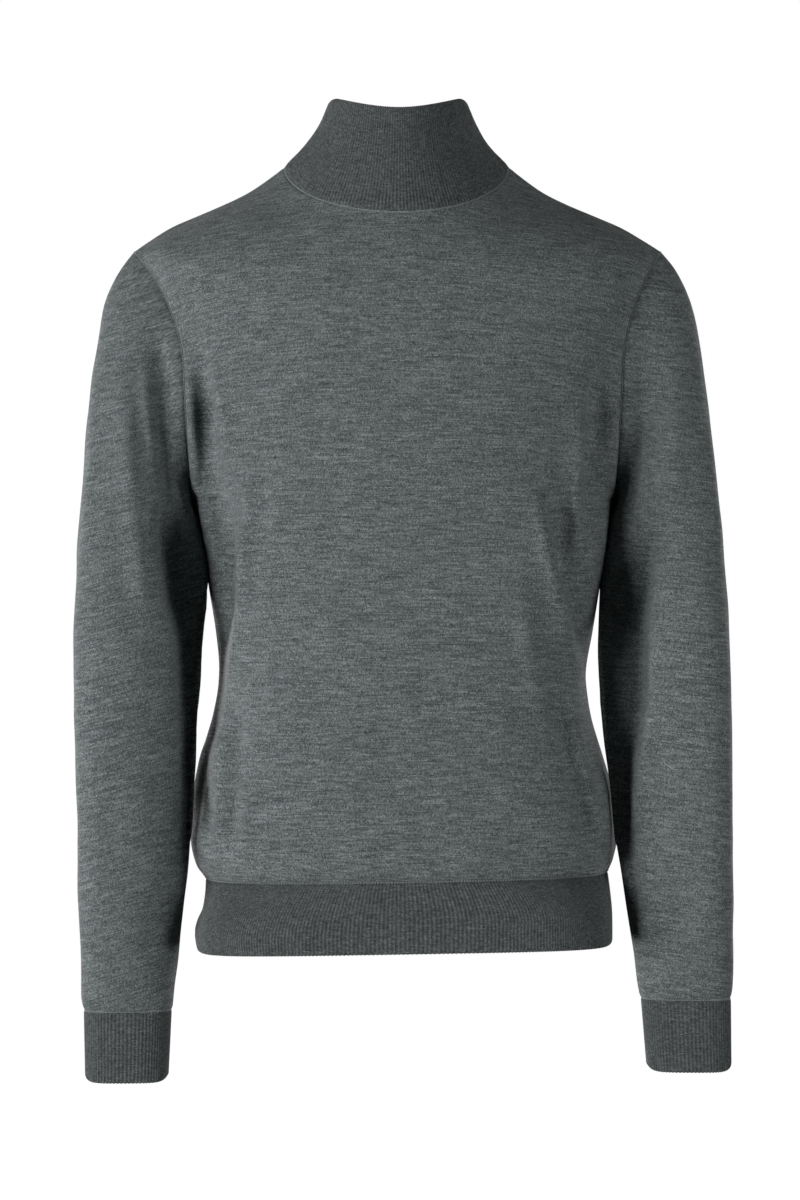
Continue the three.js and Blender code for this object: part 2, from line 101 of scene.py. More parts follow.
@dataclass(frozen=True)
class Table:
    """Rows of named sizes in millimetres, read on a smooth curve through every column."""

    columns: tuple[str, ...]
    rows: tuple[tuple[float, ...], ...]

    def at(self, share: Array) -> dict[str, Array]:
        """Sizes at shares of the way through the rows.

        Args:
            share: Places from 0, the first row, to 1, the last.

        Returns:
            One array for each named column, as long as share.
        """
        rows = np.array(self.rows, float)
        last = len(rows) - 1
        place = np.clip(share, 0, 1) * last
        first = np.minimum(np.floor(place).astype(int), last - 1)
        t = (place - first)[:, None]
        a, b, c, d = (rows[np.clip(first + step, 0, last)] for step in (-1, 0, 1, 2))
        made = b + 0.5 * t * (c - a + t * (2 * a - 5 * b + 4 * c - d + t * (3 * (b - c) + d - a)))
        return {name: made[:, index] for index, name in enumerate(self.columns)}

    def down(self, share: Array) -> dict[str, Array]:
        """The sizes at shares of the way, as columns that spread across the rows of a grid."""
        return {name: values[:, None] for name, values in self.at(share).items()}

    def of_row(self, index: int, name: str) -> float:
        """One size of one row."""
        return self.rows[index][self.columns.index(name)]


TRUNK = Table(
    ("z", "right", "left", "front", "back", "square"),
    (
        (-563, 164, 177, 109, 99, 0.05),
        (-552, 172, 182.5, 115, 104, 0.05),
        (-530, 177, 186, 118, 107, 0.05),
        (-498, 175, 183, 117, 106, 0.05),
        (-462, 168, 173, 113, 102, 0.05),
        (-427, 158, 163, 109, 98, 0.05),
        (-393, 153, 159, 107, 96, 0.05),
        (-356, 156, 165, 108, 96, 0.05),
        (-319, 162, 171, 110, 99, 0.06),
        (-282, 167, 176, 113, 102, 0.06),
        (-245, 173, 180, 115, 105, 0.05),
    ),
)
SHOULDER = Table(
    ("right", "left", "z", "front", "front_z", "back", "back_z", "neck"),
    (
        (225.5, 223, -34, 99, -62, 101, -44, 0),
        (195.5, 190.5, -14, 95, -49, 98, -22, 0.15),
        (161, 155, 1, 90, -36, 93, 1, 0.4),
        (127.5, 122, 17, 84, -22, 84, 23, 0.7),
        (97.5, 93.5, 38, 78, -8, 73, 44, 1),
    ),
)
SLEEVE_COLUMNS = ("outer", "outer_z", "inner", "inner_z", "front", "back", "lean")
SLEEVE_DEPTHS = (
    (55, 52, 0), (57, 51, 0.02), (58.5, 50, 0.06), (60, 48, 0.11), (62, 44, 0.16),
    (64, 38, 0.2), (70, 28, 0.24), (75, 16, 0.26), (78, 6, 0.27), (81, -3, 0.27),
    (81, -8, 0.26), (79, -12, 0.24), (75, -17, 0.2), (71, -20, 0.14), (67, -21, 0.08),
)
SLEEVE_EDGES = {
    Side.RIGHT: (
        (225.5, -34, 173, -245), (239, -52, 173.4, -249), (250, -80, 172.2, -256),
        (257.3, -120, 168, -266), (263.3, -172, 164.8, -281), (268.1, -235, 161.5, -304),
        (272.1, -303, 164.2, -337), (273.4, -367, 168, -382), (272.2, -432, 171.3, -438),
        (270.1, -490, 173.6, -491), (268.9, -535, 176, -535), (268.5, -585, 181.2, -585),
        (266.4, -635, 186.3, -635), (266.2, -663, 189.3, -663), (264.1, -674, 190.8, -674),
    ),
    Side.LEFT: (
        (223, -34, 180, -245), (236.5, -52, 180.6, -249), (248.5, -80, 179.8, -256),
        (255.8, -120, 176.4, -266), (262.6, -172, 174, -281), (269.1, -235, 171, -304),
        (274.6, -303, 169.8, -337), (278, -367, 168.8, -382), (279.1, -432, 172.8, -438),
        (279.2, -490, 179, -490), (279.4, -535, 183, -535), (279.6, -580, 190.2, -580),
        (280, -622, 196.5, -622), (280, -653, 200.8, -653), (278, -664, 203, -664),
    ),
}
SLEEVES = {
    side: Table(SLEEVE_COLUMNS, tuple(edge + depth for edge, depth in zip(edges, SLEEVE_DEPTHS)))
    for side, edges in SLEEVE_EDGES.items()
}
CUFF_COLUMNS = ("outer", "inner", "front", "back", "lean", "z", "square", "lift")
CUFFS = {
    Side.RIGHT: Table(
        CUFF_COLUMNS,
        ((264, 191.6, 66, -22, 0.08, -674, 0.06, 0), (263, 194.2, 64.5, -23.5, 0.05, -734, 0.06, 5)),
    ),
    Side.LEFT: Table(
        CUFF_COLUMNS,
        ((278, 203.8, 66, -22, 0.08, -664, 0.06, 0), (278.6, 208.4, 64.5, -23.5, 0.05, -725, 0.06, 5)),
    ),
}
HEM = Table(
    ("z", "right", "left", "front", "back", "square", "lift"),
    (
        (-563, 163.8, 176.8, 108.6, 98.6, 0.05, 0),
        (-577.5, 164.2, 178.5, 109, 99, 0.08, 1),
        (-592.5, 166.5, 179.5, 109.5, 99.5, 0.1, 3),
        (-607.5, 172, 180, 110, 100, 0.1, 5),
        (-622, 170.5, 180, 110.5, 100.5, 0.1, 7),
    ),
)
COLLAR = Table(
    ("right", "left", "side_z", "front", "front_z", "back", "back_z", "neck"),
    (
        (97.5, 93.5, 38, 78, -8, 73, 44, 1),
        (79.5, 75.5, 57.5, 72.5, 22, 66, 60, 0.7),
        (67.5, 65.5, 76, 68.5, 51, 59, 76, 0.4),
        (60, 58, 96, 66, 81, 53, 93, 0),
    ),
)


@dataclass(frozen=True)
class Fold:
    """A soft ridge (positive rise) or trough, placed as seen from the front or the back.

    Its sizes are millimetres. The bend bows its middle to the wearer's right where the fold runs down.
    """

    face: Face
    start: tuple[float, float]
    end: tuple[float, float]
    rise: float
    half: float
    bend: float = 0.0
    taper: float = 0.3

    def height(self, x: Array, z: Array) -> Array:
        """How far the fold lifts each point.

        Args:
            x: Places across.
            z: Heights.

        Returns:
            The lift along the cloth's normal.
        """
        run_x, run_z = self.end[0] - self.start[0], self.end[1] - self.start[1]
        length = math.hypot(run_x, run_z)
        off_x, off_z = x - self.start[0], z - self.start[1]
        along = (off_x * run_x + off_z * run_z) / length**2
        beside = (off_x * run_z - off_z * run_x) / length - self.bend * 4 * along * (1 - along)
        ends = smooth(along, 0, self.taper) * smooth(1 - along, 0, self.taper)
        return self.rise * ends * np.exp(-((beside / self.half) ** 2))


@dataclass(frozen=True)
class Tuck:
    """A crease with the cloth turned in behind it on one side, as seen from the front or the back.

    Its line runs down through points of width and height in millimetres. Toward is the sign along X of
    the side that turns in, and share how much of its depth that side loses. Start and end are how long
    the tuck takes to start and to end, and reach is how far past the crease the cloth is out again.
    """

    face: Face
    line: tuple[tuple[float, float], ...]
    toward: int
    share: float
    width: float = 7.0
    start: float = 45.0
    end: float = 45.0
    reach: float = 400.0

    def depth(self, x: Array, z: Array) -> Array:
        """How much of its depth each point loses.

        Args:
            x: Places across.
            z: Heights.

        Returns:
            Shares from 0 to the tuck's own.
        """
        run_x, run_z = zip(*self.line)
        crease = np.interp(-z, -np.array(run_z), run_x)
        past = (x - crease) * self.toward
        inside = smooth(past, -1.0, self.width) * (1 - smooth(past, self.width, self.reach))
        ends = smooth(run_z[0] - z, 0, self.start) * smooth(z - run_z[-1], 0, self.end)
        return self.share * inside * ends


BODY_TUCKS = (
    Tuck(
        Face.FRONT,
        ((-158, -95), (-152, -150), (-144, -184), (-136, -217), (-129, -255), (-130, -297), (-134, -335)),
        -1, 0.24, 11, 90, 90, 65,
    ),
    Tuck(
        Face.FRONT,
        (
            (-128, -205), (-128, -263), (-131.5, -297), (-134, -335), (-141, -372),
            (-145, -400), (-150, -439), (-152, -470), (-152, -515), (-154, -556),
        ),
        -1, 0.54, 6, 110, 80, 75,
    ),
    Tuck(Face.FRONT, ((166, -100), (156, -180), (149, -230), (147, -310)), 1, 0.15, 13, 100, 80, 70),
    Tuck(
        Face.FRONT,
        ((112, -225), (127, -297), (140, -349), (149, -381), (159, -412)),
        1, 0.36, 6, 100, 60, 100,
    ),
    Tuck(Face.FRONT, ((166, -430), (171, -465), (176, -490), (179, -556)), 1, 0.5, 5, 45, 20),
    Tuck(Face.BACK, ((-158, -105), (-146, -180), (-138, -250), (-140, -330)), -1, 0.25, 20, 100, 80),
    Tuck(Face.BACK, ((162, -110), (150, -190), (144, -260), (147, -340)), 1, 0.25, 20, 100, 80),
    Tuck(Face.BACK, ((-148, -330), (-150, -400), (-160, -480), (-165, -545)), -1, 0.5, 8, 60, 40),
    Tuck(Face.BACK, ((152, -350), (158, -420), (168, -490), (172, -545)), 1, 0.5, 8, 60, 40),
)
SLEEVE_TUCKS = {
    Side.RIGHT: (
        Tuck(
            Face.FRONT,
            (
                (-210, -235), (-204, -288), (-197, -335), (-189.5, -364), (-188, -414),
                (-184, -464), (-183, -522), (-186, -581), (-191, -625),
            ),
            1, 1.15, 7, 115, 110,
        ),
        Tuck(Face.BACK, ((-196, -300), (-192, -400), (-190, -500), (-192, -600)), 1, 0.5, 9, 60, 60),
    ),
    Side.LEFT: (
        Tuck(
            Face.FRONT,
            (
                (226, -248), (217, -297), (211, -347), (210, -414), (200.5, -470),
                (198, -497), (200.5, -547), (205.5, -581), (208, -625),
            ),
            -1, 1.15, 7, 125, 110,
        ),
        Tuck(Face.BACK, ((200, -310), (197, -400), (196, -500), (200, -600)), -1, 0.5, 9, 60, 60),
    ),
}


def folds(face: Face, *rows: tuple[Any, ...]) -> tuple[Fold, ...]:
    """Folds that lie on one face, from rows of their other sizes."""
    return tuple(Fold(face, *row) for row in rows)


BODY_FOLDS = (
    *folds(
        Face.FRONT,
        ((-181, -95), (-166, -300), 2.4, 6, 3, 0.25), ((-166, -115), (-147, -345), -6, 9, 2),
        ((-152, -120), (-129, -300), 4, 6, 3, 0.35), ((-131, -250), (-133, -345), 4.2, 5, -3, 0.4),
        ((-117, -200), (-116, -330), -3, 8, -3, 0.4), ((-139, -395), (-145, -556), -7, 9, -5),
        ((-149, -435), (-162, -552), 5, 5, 3, 0.25), ((-127, -470), (-129, -556), 3.8, 6, 0, 0.35),
        ((-168, -440), (-178, -520), 1.6, 7, 2, 0.35), ((-86, -103), (-48, -109), -0.8, 4, 2, 0.4),
        ((-96, -170), (-60, -176), -0.6, 6, 1, 0.4), ((-60, -330), (-72, -470), -1.2, 16, 3, 0.4),
        ((-20, -380), (-16, -500), -1, 15, -2, 0.4), ((44, -350), (38, -480), -1.2, 15, 2, 0.4),
        ((188, -108), (172, -335), 2.4, 6, -3, 0.25), ((164, -120), (155, -300), -5, 8, -2),
        ((150, -150), (144, -320), 3.4, 5, -2, 0.35), ((136, -165), (133, -330), -3.2, 8, -2, 0.45),
        ((140, -294), (168, -297), -0.7, 3.5, 2, 0.4), ((128, -390), (174, -558), -5.5, 9, 5, 0.28),
        ((112, -235), (150, -385), 4, 5, 4), ((142, -400), (178, -545), 4, 5, 5),
        ((98, -280), (132, -470), 2.6, 8, 6, 0.4), ((150, -500), (158, -558), -2.4, 6, 0, 0.35),
        ((96, -505), (104, -558), -1, 9, 0, 0.35), ((-70, -515), (-76, -558), -0.9, 9, 0, 0.35),
    ),
    *folds(
        Face.BACK,
        ((-166, -110), (-142, -380), -5, 11, 4), ((-150, -130), (-126, -330), 2, 8, 3, 0.35),
        ((170, -115), (147, -380), -5, 11, -4), ((152, -130), (130, -320), 2, 8, -3, 0.35),
        ((-104, -290), (-152, -556), -5.5, 11, -6), ((-122, -300), (-166, -545), 2.6, 8, -6),
        ((102, -300), (156, -556), -5, 11, 6), ((118, -310), (170, -540), 2.6, 8, 6),
        ((-40, -330), (-54, -545), -3.2, 14, 3, 0.35), ((48, -350), (60, -548), -2.8, 14, -3, 0.35),
        ((-58, -372), (52, -384), -2.4, 12, 6, 0.35), ((-80, -412), (66, -420), 1.8, 11, 5, 0.35),
        ((-92, -46), (88, -50), -1.2, 13, -6, 0.35),
    ),
)
SLEEVE_FOLDS = {
    Side.RIGHT: (
        *folds(
            Face.FRONT,
            ((-200, -88), (-184, -285), -7, 10, 3), ((-192, -90), (-183, -102), 1.6, 4, 0, 0.4),
            ((-232, -118), (-206, -370), 4.2, 9, 4), ((-247, -116), (-212, -123), 1, 3.5, -1, 0.35),
            ((-214, -120), (-200, -240), 2.4, 5, 2, 0.4), ((-252, -160), (-262, -330), 2, 5, 2, 0.4),
            ((-236, -440), (-238, -600), -1.4, 12, 3, 0.4),
        ),
        *folds(
            Face.BACK,
            ((-210, -110), (-196, -300), -6, 12, 3), ((-226, -120), (-214, -330), 2.4, 9, 3),
            ((-264, -325), (-196, -395), -4, 10, 5), ((-266, -352), (-202, -425), 2.4, 8, 5),
            ((-262, -425), (-206, -470), -2, 9, 4, 0.35), ((-256, -600), (-214, -640), -1.6, 8, 3, 0.35),
        ),
    ),
    Side.LEFT: (
        *folds(
            Face.FRONT,
            ((204, -92), (186, -300), -7, 10, -3), ((229, -112), (220, -370), 3.4, 9, -4),
            ((232, -235), (214, -350), -3.6, 8, 0, 0.35), ((196, -84), (212, -70), 1.4, 4, 0, 0.4),
            ((256, -160), (268, -330), 2, 5, -2, 0.4), ((244, -430), (240, -600), -1.4, 12, -3, 0.4),
        ),
        *folds(
            Face.BACK,
            ((212, -110), (200, -300), -6, 12, -3), ((228, -120), (218, -330), 2.4, 9, -3),
            ((270, -335), (202, -402), -4, 10, -5), ((272, -362), (208, -432), 2.4, 8, -5),
            ((268, -440), (212, -480), -2, 9, -4, 0.35), ((262, -590), (222, -632), -1.6, 8, -3, 0.35),
        ),
    ),
}


@dataclass(frozen=True)
class ClothHand:
    """The faint unevenness of a soft knit: a few low waves in millimetres, with a fixed seed."""

    seed: int
    rise: float = 0.28
    shortest: float = 18.0
    longest: float = 70.0
    waves: int = 22

    def height(self, points: Array) -> Array:
        """How far the waves lift each point.

        Args:
            points: A grid of points.

        Returns:
            The lift along the cloth's normal.
        """
        rng = np.random.default_rng(self.seed)
        total = np.zeros(points.shape[:-1])
        for _ in range(self.waves):
            length = rng.uniform(self.shortest, self.longest)
            heading = rng.normal(size=3)
            heading /= np.linalg.norm(heading)
            phase = rng.uniform(0, TURN)
            total += np.sin(points @ heading * TURN / length + phase) * length / self.longest
        return self.rise * total / math.sqrt(self.waves) * 2


@dataclass(frozen=True)
class SeamRelief:
    """The groove of a linked seam and the soft ridge of its turned edge, in millimetres."""

    dip: float
    ridge: float
    groove: float = 1.3
    ridge_at: float = 2.8
    ridge_half: float = 1.9

    def height(self, away: Array) -> Array:
        """The relief at distances from the seam."""
        ridge = self.ridge * np.exp(-(((away - self.ridge_at) / self.ridge_half) ** 2))
        return ridge - self.dip * np.exp(-((away / self.groove) ** 2))


def smooth(value: Array, low: float, high: float) -> Array:
    """A soft step from 0 at low to 1 at high."""
    t = np.clip((value - low) / (high - low), 0, 1)
    return t * t * (3 - 2 * t)


def between(start: Any, end: Any, share: Any) -> Any:
    """A value a share of the way from start to end."""
    return start + (end - start) * share


def wide(angle: Array, square: Array) -> Array:
    """Unit width of a rounded section at an angle from its centre line; square fills its corners."""
    return (np.sin(angle) + square * np.sin(3 * angle)) / (1 - square)


def deep(angle: Array, square: Array) -> Array:
    """Unit depth of a rounded section at an angle from its centre line."""
    return (np.cos(angle) - square * np.cos(3 * angle)) / (1 - square)


def section(share: Array, edge_x: Any, edge_y: Any, depth: Any, square: Any) -> tuple[Array, Array]:
    """Points of half a section.

    Args:
        share: 0 at the centre line and 1 at the edge.
        edge_x: Width at the edge.
        edge_y: Depth at the edge.
        depth: Depth at the centre line.
        square: How full the corners are.

    Returns:
        The width and the depth of each point.
    """
    whole = np.arccos(np.clip(edge_y / depth, 0, 1))
    angle = share * whole
    drop = (deep(angle, square) - 1) / (deep(whole, square) - 1)
    return edge_x * wide(angle, square) / wide(whole, square), depth + (edge_y - depth) * drop


def rise_of(share: Array, neck: Array) -> Array:
    """How far a row has risen toward its edge: level at a shoulder, steep beside the neck."""
    return between(smooth(share, 0, 1), 1 - np.cos(share * math.pi / 2), neck)


def tilt_at(x: Array, z: Array) -> Array:
    """How far the hem end of the body tips down to the wearer's right."""
    whole = Body.hem_tilt * x / TRUNK.of_row(0, "left")
    return whole * smooth(-z, Body.tilt_from, -TRUNK.of_row(0, "z"))


def lengths_along(grid: Array, axis: int) -> Array:
    """Distance run along one axis of a grid.

    Args:
        grid: Rows and columns of points.
        axis: 0 to run up the rows, 1 to run across the columns.

    Returns:
        For each point, the length of the line up to it.
    """
    steps = np.linalg.norm(np.diff(grid, axis=axis), axis=-1)
    start = np.zeros_like(np.take(steps, [0], axis=axis))
    return np.concatenate((start, np.cumsum(steps, axis=axis)), axis=axis)


def normals_of(grid: Array, closed: bool) -> Array:
    """Outward unit normals of a grid of points that stands around the middle of its rows.

    Args:
        grid: Rows and columns of points.
        closed: Whether the last column joins the first.

    Returns:
        One normal for each point.
    """
    up = np.gradient(grid, axis=0)
    if closed:
        over = np.roll(grid, -1, axis=1) - np.roll(grid, 1, axis=1)
    else:
        over = np.gradient(grid, axis=1)
    normals = np.cross(over, up)
    normals /= np.maximum(np.linalg.norm(normals, axis=-1, keepdims=True), 1e-9)
    hub = grid.mean(axis=1, keepdims=True)
    if not closed:
        hub[..., 1] = 0
    return normals if np.sum(normals * (grid - hub)) > 0 else -normals


def level_ends(normals: Array, rows: Array) -> None:
    """Turns the end normals of some rows into the plane of the side seams, where front and back meet.

    Args:
        normals: A grid of normals, which are turned.
        rows: The rows to turn.
    """
    for column in (0, -1):
        normals[rows, column, 1] = 0
        normals[rows, column] /= np.linalg.norm(normals[rows, column], axis=-1, keepdims=True)


def put(name: str, data: Any) -> Piece:
    """Adds an object with its data to the scene.

    Args:
        name: Its name.
        data: Its mesh, light or camera.

    Returns:
        The object.
    """
    made = bpy.data.objects.new(name, data)
    bpy.context.scene.collection.objects.link(made)
    return made


@dataclass
class ClothWall:
    """A closed wall of cloth between an outer and an inner grid, with its knit laid on it as a map."""

    name: str
    outer: Array
    inner: Array
    knit: Array
    closed: bool
    marks: dict[str, Array] = field(default_factory=dict)

    def corners(self) -> Array:
        """Faces as four corners, each a layer, a row and a column, where 0 is the outer layer.

        Returns:
            An array of faces, corners and places.
        """
        rows, columns = self.outer.shape[:2]
        spans = columns if self.closed else columns - 1
        row, column = (part.ravel() for part in np.mgrid[0 : rows - 1, 0:spans])
        edge = np.arange(spans)

        def face(*places: tuple[Any, Any, Any]) -> Array:
            """Faces between four places."""
            return np.stack([np.stack(np.broadcast_arrays(*place), axis=-1) for place in places], axis=1)

        right, above = column + 1, row + 1
        skin = face((0, row, column), (0, row, right), (0, above, right), (0, above, column))
        lining = skin[:, ::-1].copy()
        lining[..., 0] = 1
        top = rows - 1
        parts = [
            skin,
            lining,
            face((0, 0, edge + 1), (0, 0, edge), (1, 0, edge), (1, 0, edge + 1)),
            face((0, top, edge), (0, top, edge + 1), (1, top, edge + 1), (1, top, edge)),
        ]
        if not self.closed:
            up = np.arange(rows - 1)
            parts.append(face((0, up, 0), (0, up + 1, 0), (1, up + 1, 0), (1, up, 0)))
            parts.append(face((0, up + 1, spans), (0, up, spans), (1, up, spans), (1, up + 1, spans)))
        return np.concatenate(parts)

    def build(self) -> Piece:
        """Makes the wall as an object, with its faces outwards.

        Returns:
            The object.
        """
        rows, columns = self.outer.shape[:2]
        points = np.concatenate((self.outer.reshape(-1, 3), self.inner.reshape(-1, 3))) * MM
        corners = self.corners()
        layer, row, column = (corners[..., index] for index in range(3))
        faces = layer * rows * columns + row * columns + column % columns
        a, b, c, d = (points[faces[:, index]] for index in range(4))
        volume = np.sum(np.cross(b - a, c - a) * a) + np.sum(np.cross(c - a, d - a) * a)
        if volume < 0:
            faces, row, column = faces[:, ::-1], row[:, ::-1], column[:, ::-1]
        mesh = bpy.data.meshes.new(self.name)
        mesh.from_pydata(points.tolist(), [], faces.tolist())
        mesh.polygons.foreach_set("use_smooth", np.ones(len(faces), bool))
        knit = self.knit[row.ravel(), column.ravel()] * MM
        mesh.uv_layers.new(name=KNIT_MAP).data.foreach_set("uv", knit.astype(np.float32).ravel())
        for name, values in self.marks.items():
            mark = mesh.attributes.new(name, "FLOAT", "POINT")
            whole = np.concatenate((values.ravel(), np.zeros(values.size)))
            mark.data.foreach_set("value", whole.astype(np.float32))
        mesh.update()
        return put(self.name, mesh)


class Graph:
    """Adds linked nodes to a node tree."""

    def __init__(self, tree: Tree) -> None:
        """Keeps the tree to add to."""
        self.tree = tree

    def feed(self, socket: Socket, source: Any) -> None:
        """Links an output to a socket, or sets the socket's own value.

        Args:
            socket: The input to feed.
            source: An output socket or a value.
        """
        if isinstance(source, Socket):
            self.tree.links.new(source, socket)
        else:
            socket.default_value = source

    def add(self, kind: str, inputs: dict[Any, Any] | None = None, **settings: Any) -> bpy.types.Node:
        """Adds a node.

        Args:
            kind: The node's type.
            inputs: What feeds its sockets, by name or number.
            **settings: Its own properties.

        Returns:
            The new node.
        """
        node = self.tree.nodes.new(kind)
        for name, value in settings.items():
            setattr(node, name, value)
        for key, source in (inputs or {}).items():
            self.feed(node.inputs[key], source)
        return node

    def first(self, kind: str, inputs: dict[Any, Any] | None = None, **settings: Any) -> Socket:
        """Adds a node and gives its first output."""
        return self.add(kind, inputs, **settings).outputs[0]

    def math(self, operation: str, *sources: Any) -> Socket:
        """A Math node's result from its sources."""
        return self.first("ShaderNodeMath", dict(enumerate(sources)), operation=operation)

    def vector(self, x: Any, y: Any, z: Any = 0.0) -> Socket:
        """A vector from three values."""
        return self.first("ShaderNodeCombineXYZ", {0: x, 1: y, 2: z})

    def noise(self, place: Any, **settings: float) -> Socket:
        """Noise from 0 to 1 at a place."""
        return self.add("ShaderNodeTexNoise", {"Vector": place, **settings}).outputs["Fac"]

    def ramp(self, source: Any, *stops: tuple[float, tuple[float, float, float]]) -> Socket:
        """A colour ramp.

        Args:
            source: The value that it colours.
            *stops: Places and colours: the two ends, and then what lies between them.

        Returns:
            The colour.
        """
        node = self.add("ShaderNodeValToRGB", {0: source})
        elements = node.color_ramp.elements
        for index, (place, colour) in enumerate(stops):
            stop = elements[index] if index < 2 else elements.new(place)
            stop.position, stop.color = place, (*colour, 1)
        return node.outputs["Color"]

    def group(self, tree: Tree, inputs: dict[str, Any]) -> Socket:
        """Adds a shader group.

        Args:
            tree: The group.
            inputs: What feeds its sockets.

        Returns:
            Its result.
        """
        node = self.add("ShaderNodeGroup", node_tree=tree)
        for key, source in inputs.items():
            self.feed(node.inputs[key], source)
        return node.outputs[0]

    def wool(self, inputs: dict[str, Any]) -> None:
        """Ends a material in matt, slightly hairy wool."""
        cloth = self.first("ShaderNodeBsdfPrincipled", {"Specular IOR Level": 0.2, **inputs})
        self.add("ShaderNodeOutputMaterial", {"Surface": cloth})

    def end_by_ray(self, kind: str, shown: Socket, sent: Socket) -> None:
        """Ends a tree in one shader that the camera sees and one that lights the sweater."""
        seen = self.add("ShaderNodeLightPath").outputs["Is Camera Ray"]
        self.add(kind, {"Surface": self.first("ShaderNodeMixShader", {0: seen, 1: sent, 2: shown})})


def fresh(owner: Any) -> Graph:
    """The emptied node tree of a material or a world.

    Args:
        owner: The material or world.

    Returns:
        The tree's graph.
    """
    owner.use_nodes = True
    owner.node_tree.nodes.clear()
    return Graph(owner.node_tree)


def new_tree(kind: str, name: str, inputs: dict[str, Any], output: tuple[str, str]) -> Graph:
    """Starts a node group.

    Args:
        kind: Shader or Geometry.
        name: Its name.
        inputs: Its inputs by name, each a number input's default or the kind of another socket.
        output: The name and kind of its output.

    Returns:
        The group's graph.
    """
    tree = bpy.data.node_groups.new(name, kind + "NodeTree")
    tree.interface.new_socket(output[0], in_out="OUTPUT", socket_type="NodeSocket" + output[1])
    for key, value in inputs.items():
        socket = value if isinstance(value, str) else "Float"
        made = tree.interface.new_socket(key, in_out="INPUT", socket_type="NodeSocket" + socket)
        if socket == "Float":
            made.default_value = value
    return Graph(tree)


def melange_group() -> Tree:
    """Streaks of light and dark fibre that run along each course of the knit.

    Returns:
        The group, whose Shade is about 0.5 with streaks on both sides of it.
    """
    sizes = {"Course": 1.05, "Grain": 0.8, "Short": 2.4, "Long": 22.0}
    levels = {"Streak": 1.0, "Cloud": 0.1}
    cloud_wide, cloud_tall, cloud_slice = 46.0, 22.0, 3.0
    grain_part, short_part = 1.7, 0.6
    graph = new_tree("Shader", "melange", {"Vector": "Vector", **sizes, **levels}, ("Shade", "Float"))
    given = graph.add("NodeGroupInput").outputs
    place = graph.add("ShaderNodeSeparateXYZ", {0: given["Vector"]}).outputs
    across = graph.math("DIVIDE", place["X"], MM)
    course = graph.math("DIVIDE", graph.math("DIVIDE", place["Y"], MM), given["Course"])
    line = graph.math("FLOOR", course)

    def streak(length: Any, hop: float, shift: float) -> Socket:
        """Noise along each course, on its own in every course.

        Args:
            length: How long a streak is.
            hop: How far the noise moves from course to course.
            shift: Where it starts.

        Returns:
            The noise, on both sides of 0.
        """
        run = graph.math("DIVIDE", across, length)
        spot = graph.vector(run, graph.math("MULTIPLY_ADD", line, hop, shift))
        return graph.math("SUBTRACT", graph.noise(spot, Scale=1.0, Detail=1.0, Roughness=0.6), 0.5)

    grain = streak(given["Grain"], 5.17, 19.3)
    short = streak(given["Short"], 7.31, 0.37)
    long = streak(given["Long"], 3.73, 41.9)
    cloud_x, cloud_y = graph.math("DIVIDE", across, cloud_wide), graph.math("DIVIDE", course, cloud_tall)
    cloud = graph.noise(graph.vector(cloud_x, cloud_y, cloud_slice), Scale=1.0, Detail=2.0)
    coarse = graph.math("MULTIPLY_ADD", short, short_part, long)
    streaks = graph.math("MULTIPLY_ADD", grain, grain_part, coarse)
    strong = graph.math("MULTIPLY", streaks, given["Streak"])
    drift = graph.math("MULTIPLY", graph.math("SUBTRACT", cloud, 0.5), given["Cloud"])
    graph.add("NodeGroupOutput", {"Shade": graph.math("ADD", graph.math("ADD", strong, drift), 0.5)})
    return graph.tree


def loops_group() -> Tree:
    """The V-shaped loops of the knit, as a height for a Bump node.

    Returns:
        The group, whose Height runs from 0 in the hollows to 1 on the loops.
    """
    sizes = {"Course": 1.05, "Wale": 1.2, "Slant": 0.9}
    graph = new_tree("Shader", "knit_loops", {"Vector": "Vector", **sizes}, ("Height", "Float"))
    given = graph.add("NodeGroupInput").outputs
    place = graph.add("ShaderNodeSeparateXYZ", {0: given["Vector"]}).outputs
    wale = graph.math("DIVIDE", graph.math("DIVIDE", place["X"], MM), given["Wale"])
    course = graph.math("DIVIDE", graph.math("DIVIDE", place["Y"], MM), given["Course"])
    beside = graph.math("ABSOLUTE", graph.math("SUBTRACT", graph.math("FRACT", wale), 0.5))
    slanted = graph.math("SUBTRACT", course, graph.math("MULTIPLY", beside, given["Slant"]))
    loop = graph.math("SINE", graph.math("MULTIPLY", graph.math("FRACT", slanted), math.pi))
    leg = graph.math("SINE", graph.math("MULTIPLY", beside, TURN))
    graph.add("NodeGroupOutput", {"Height": graph.math("MULTIPLY", loop, leg)})
    return graph.tree


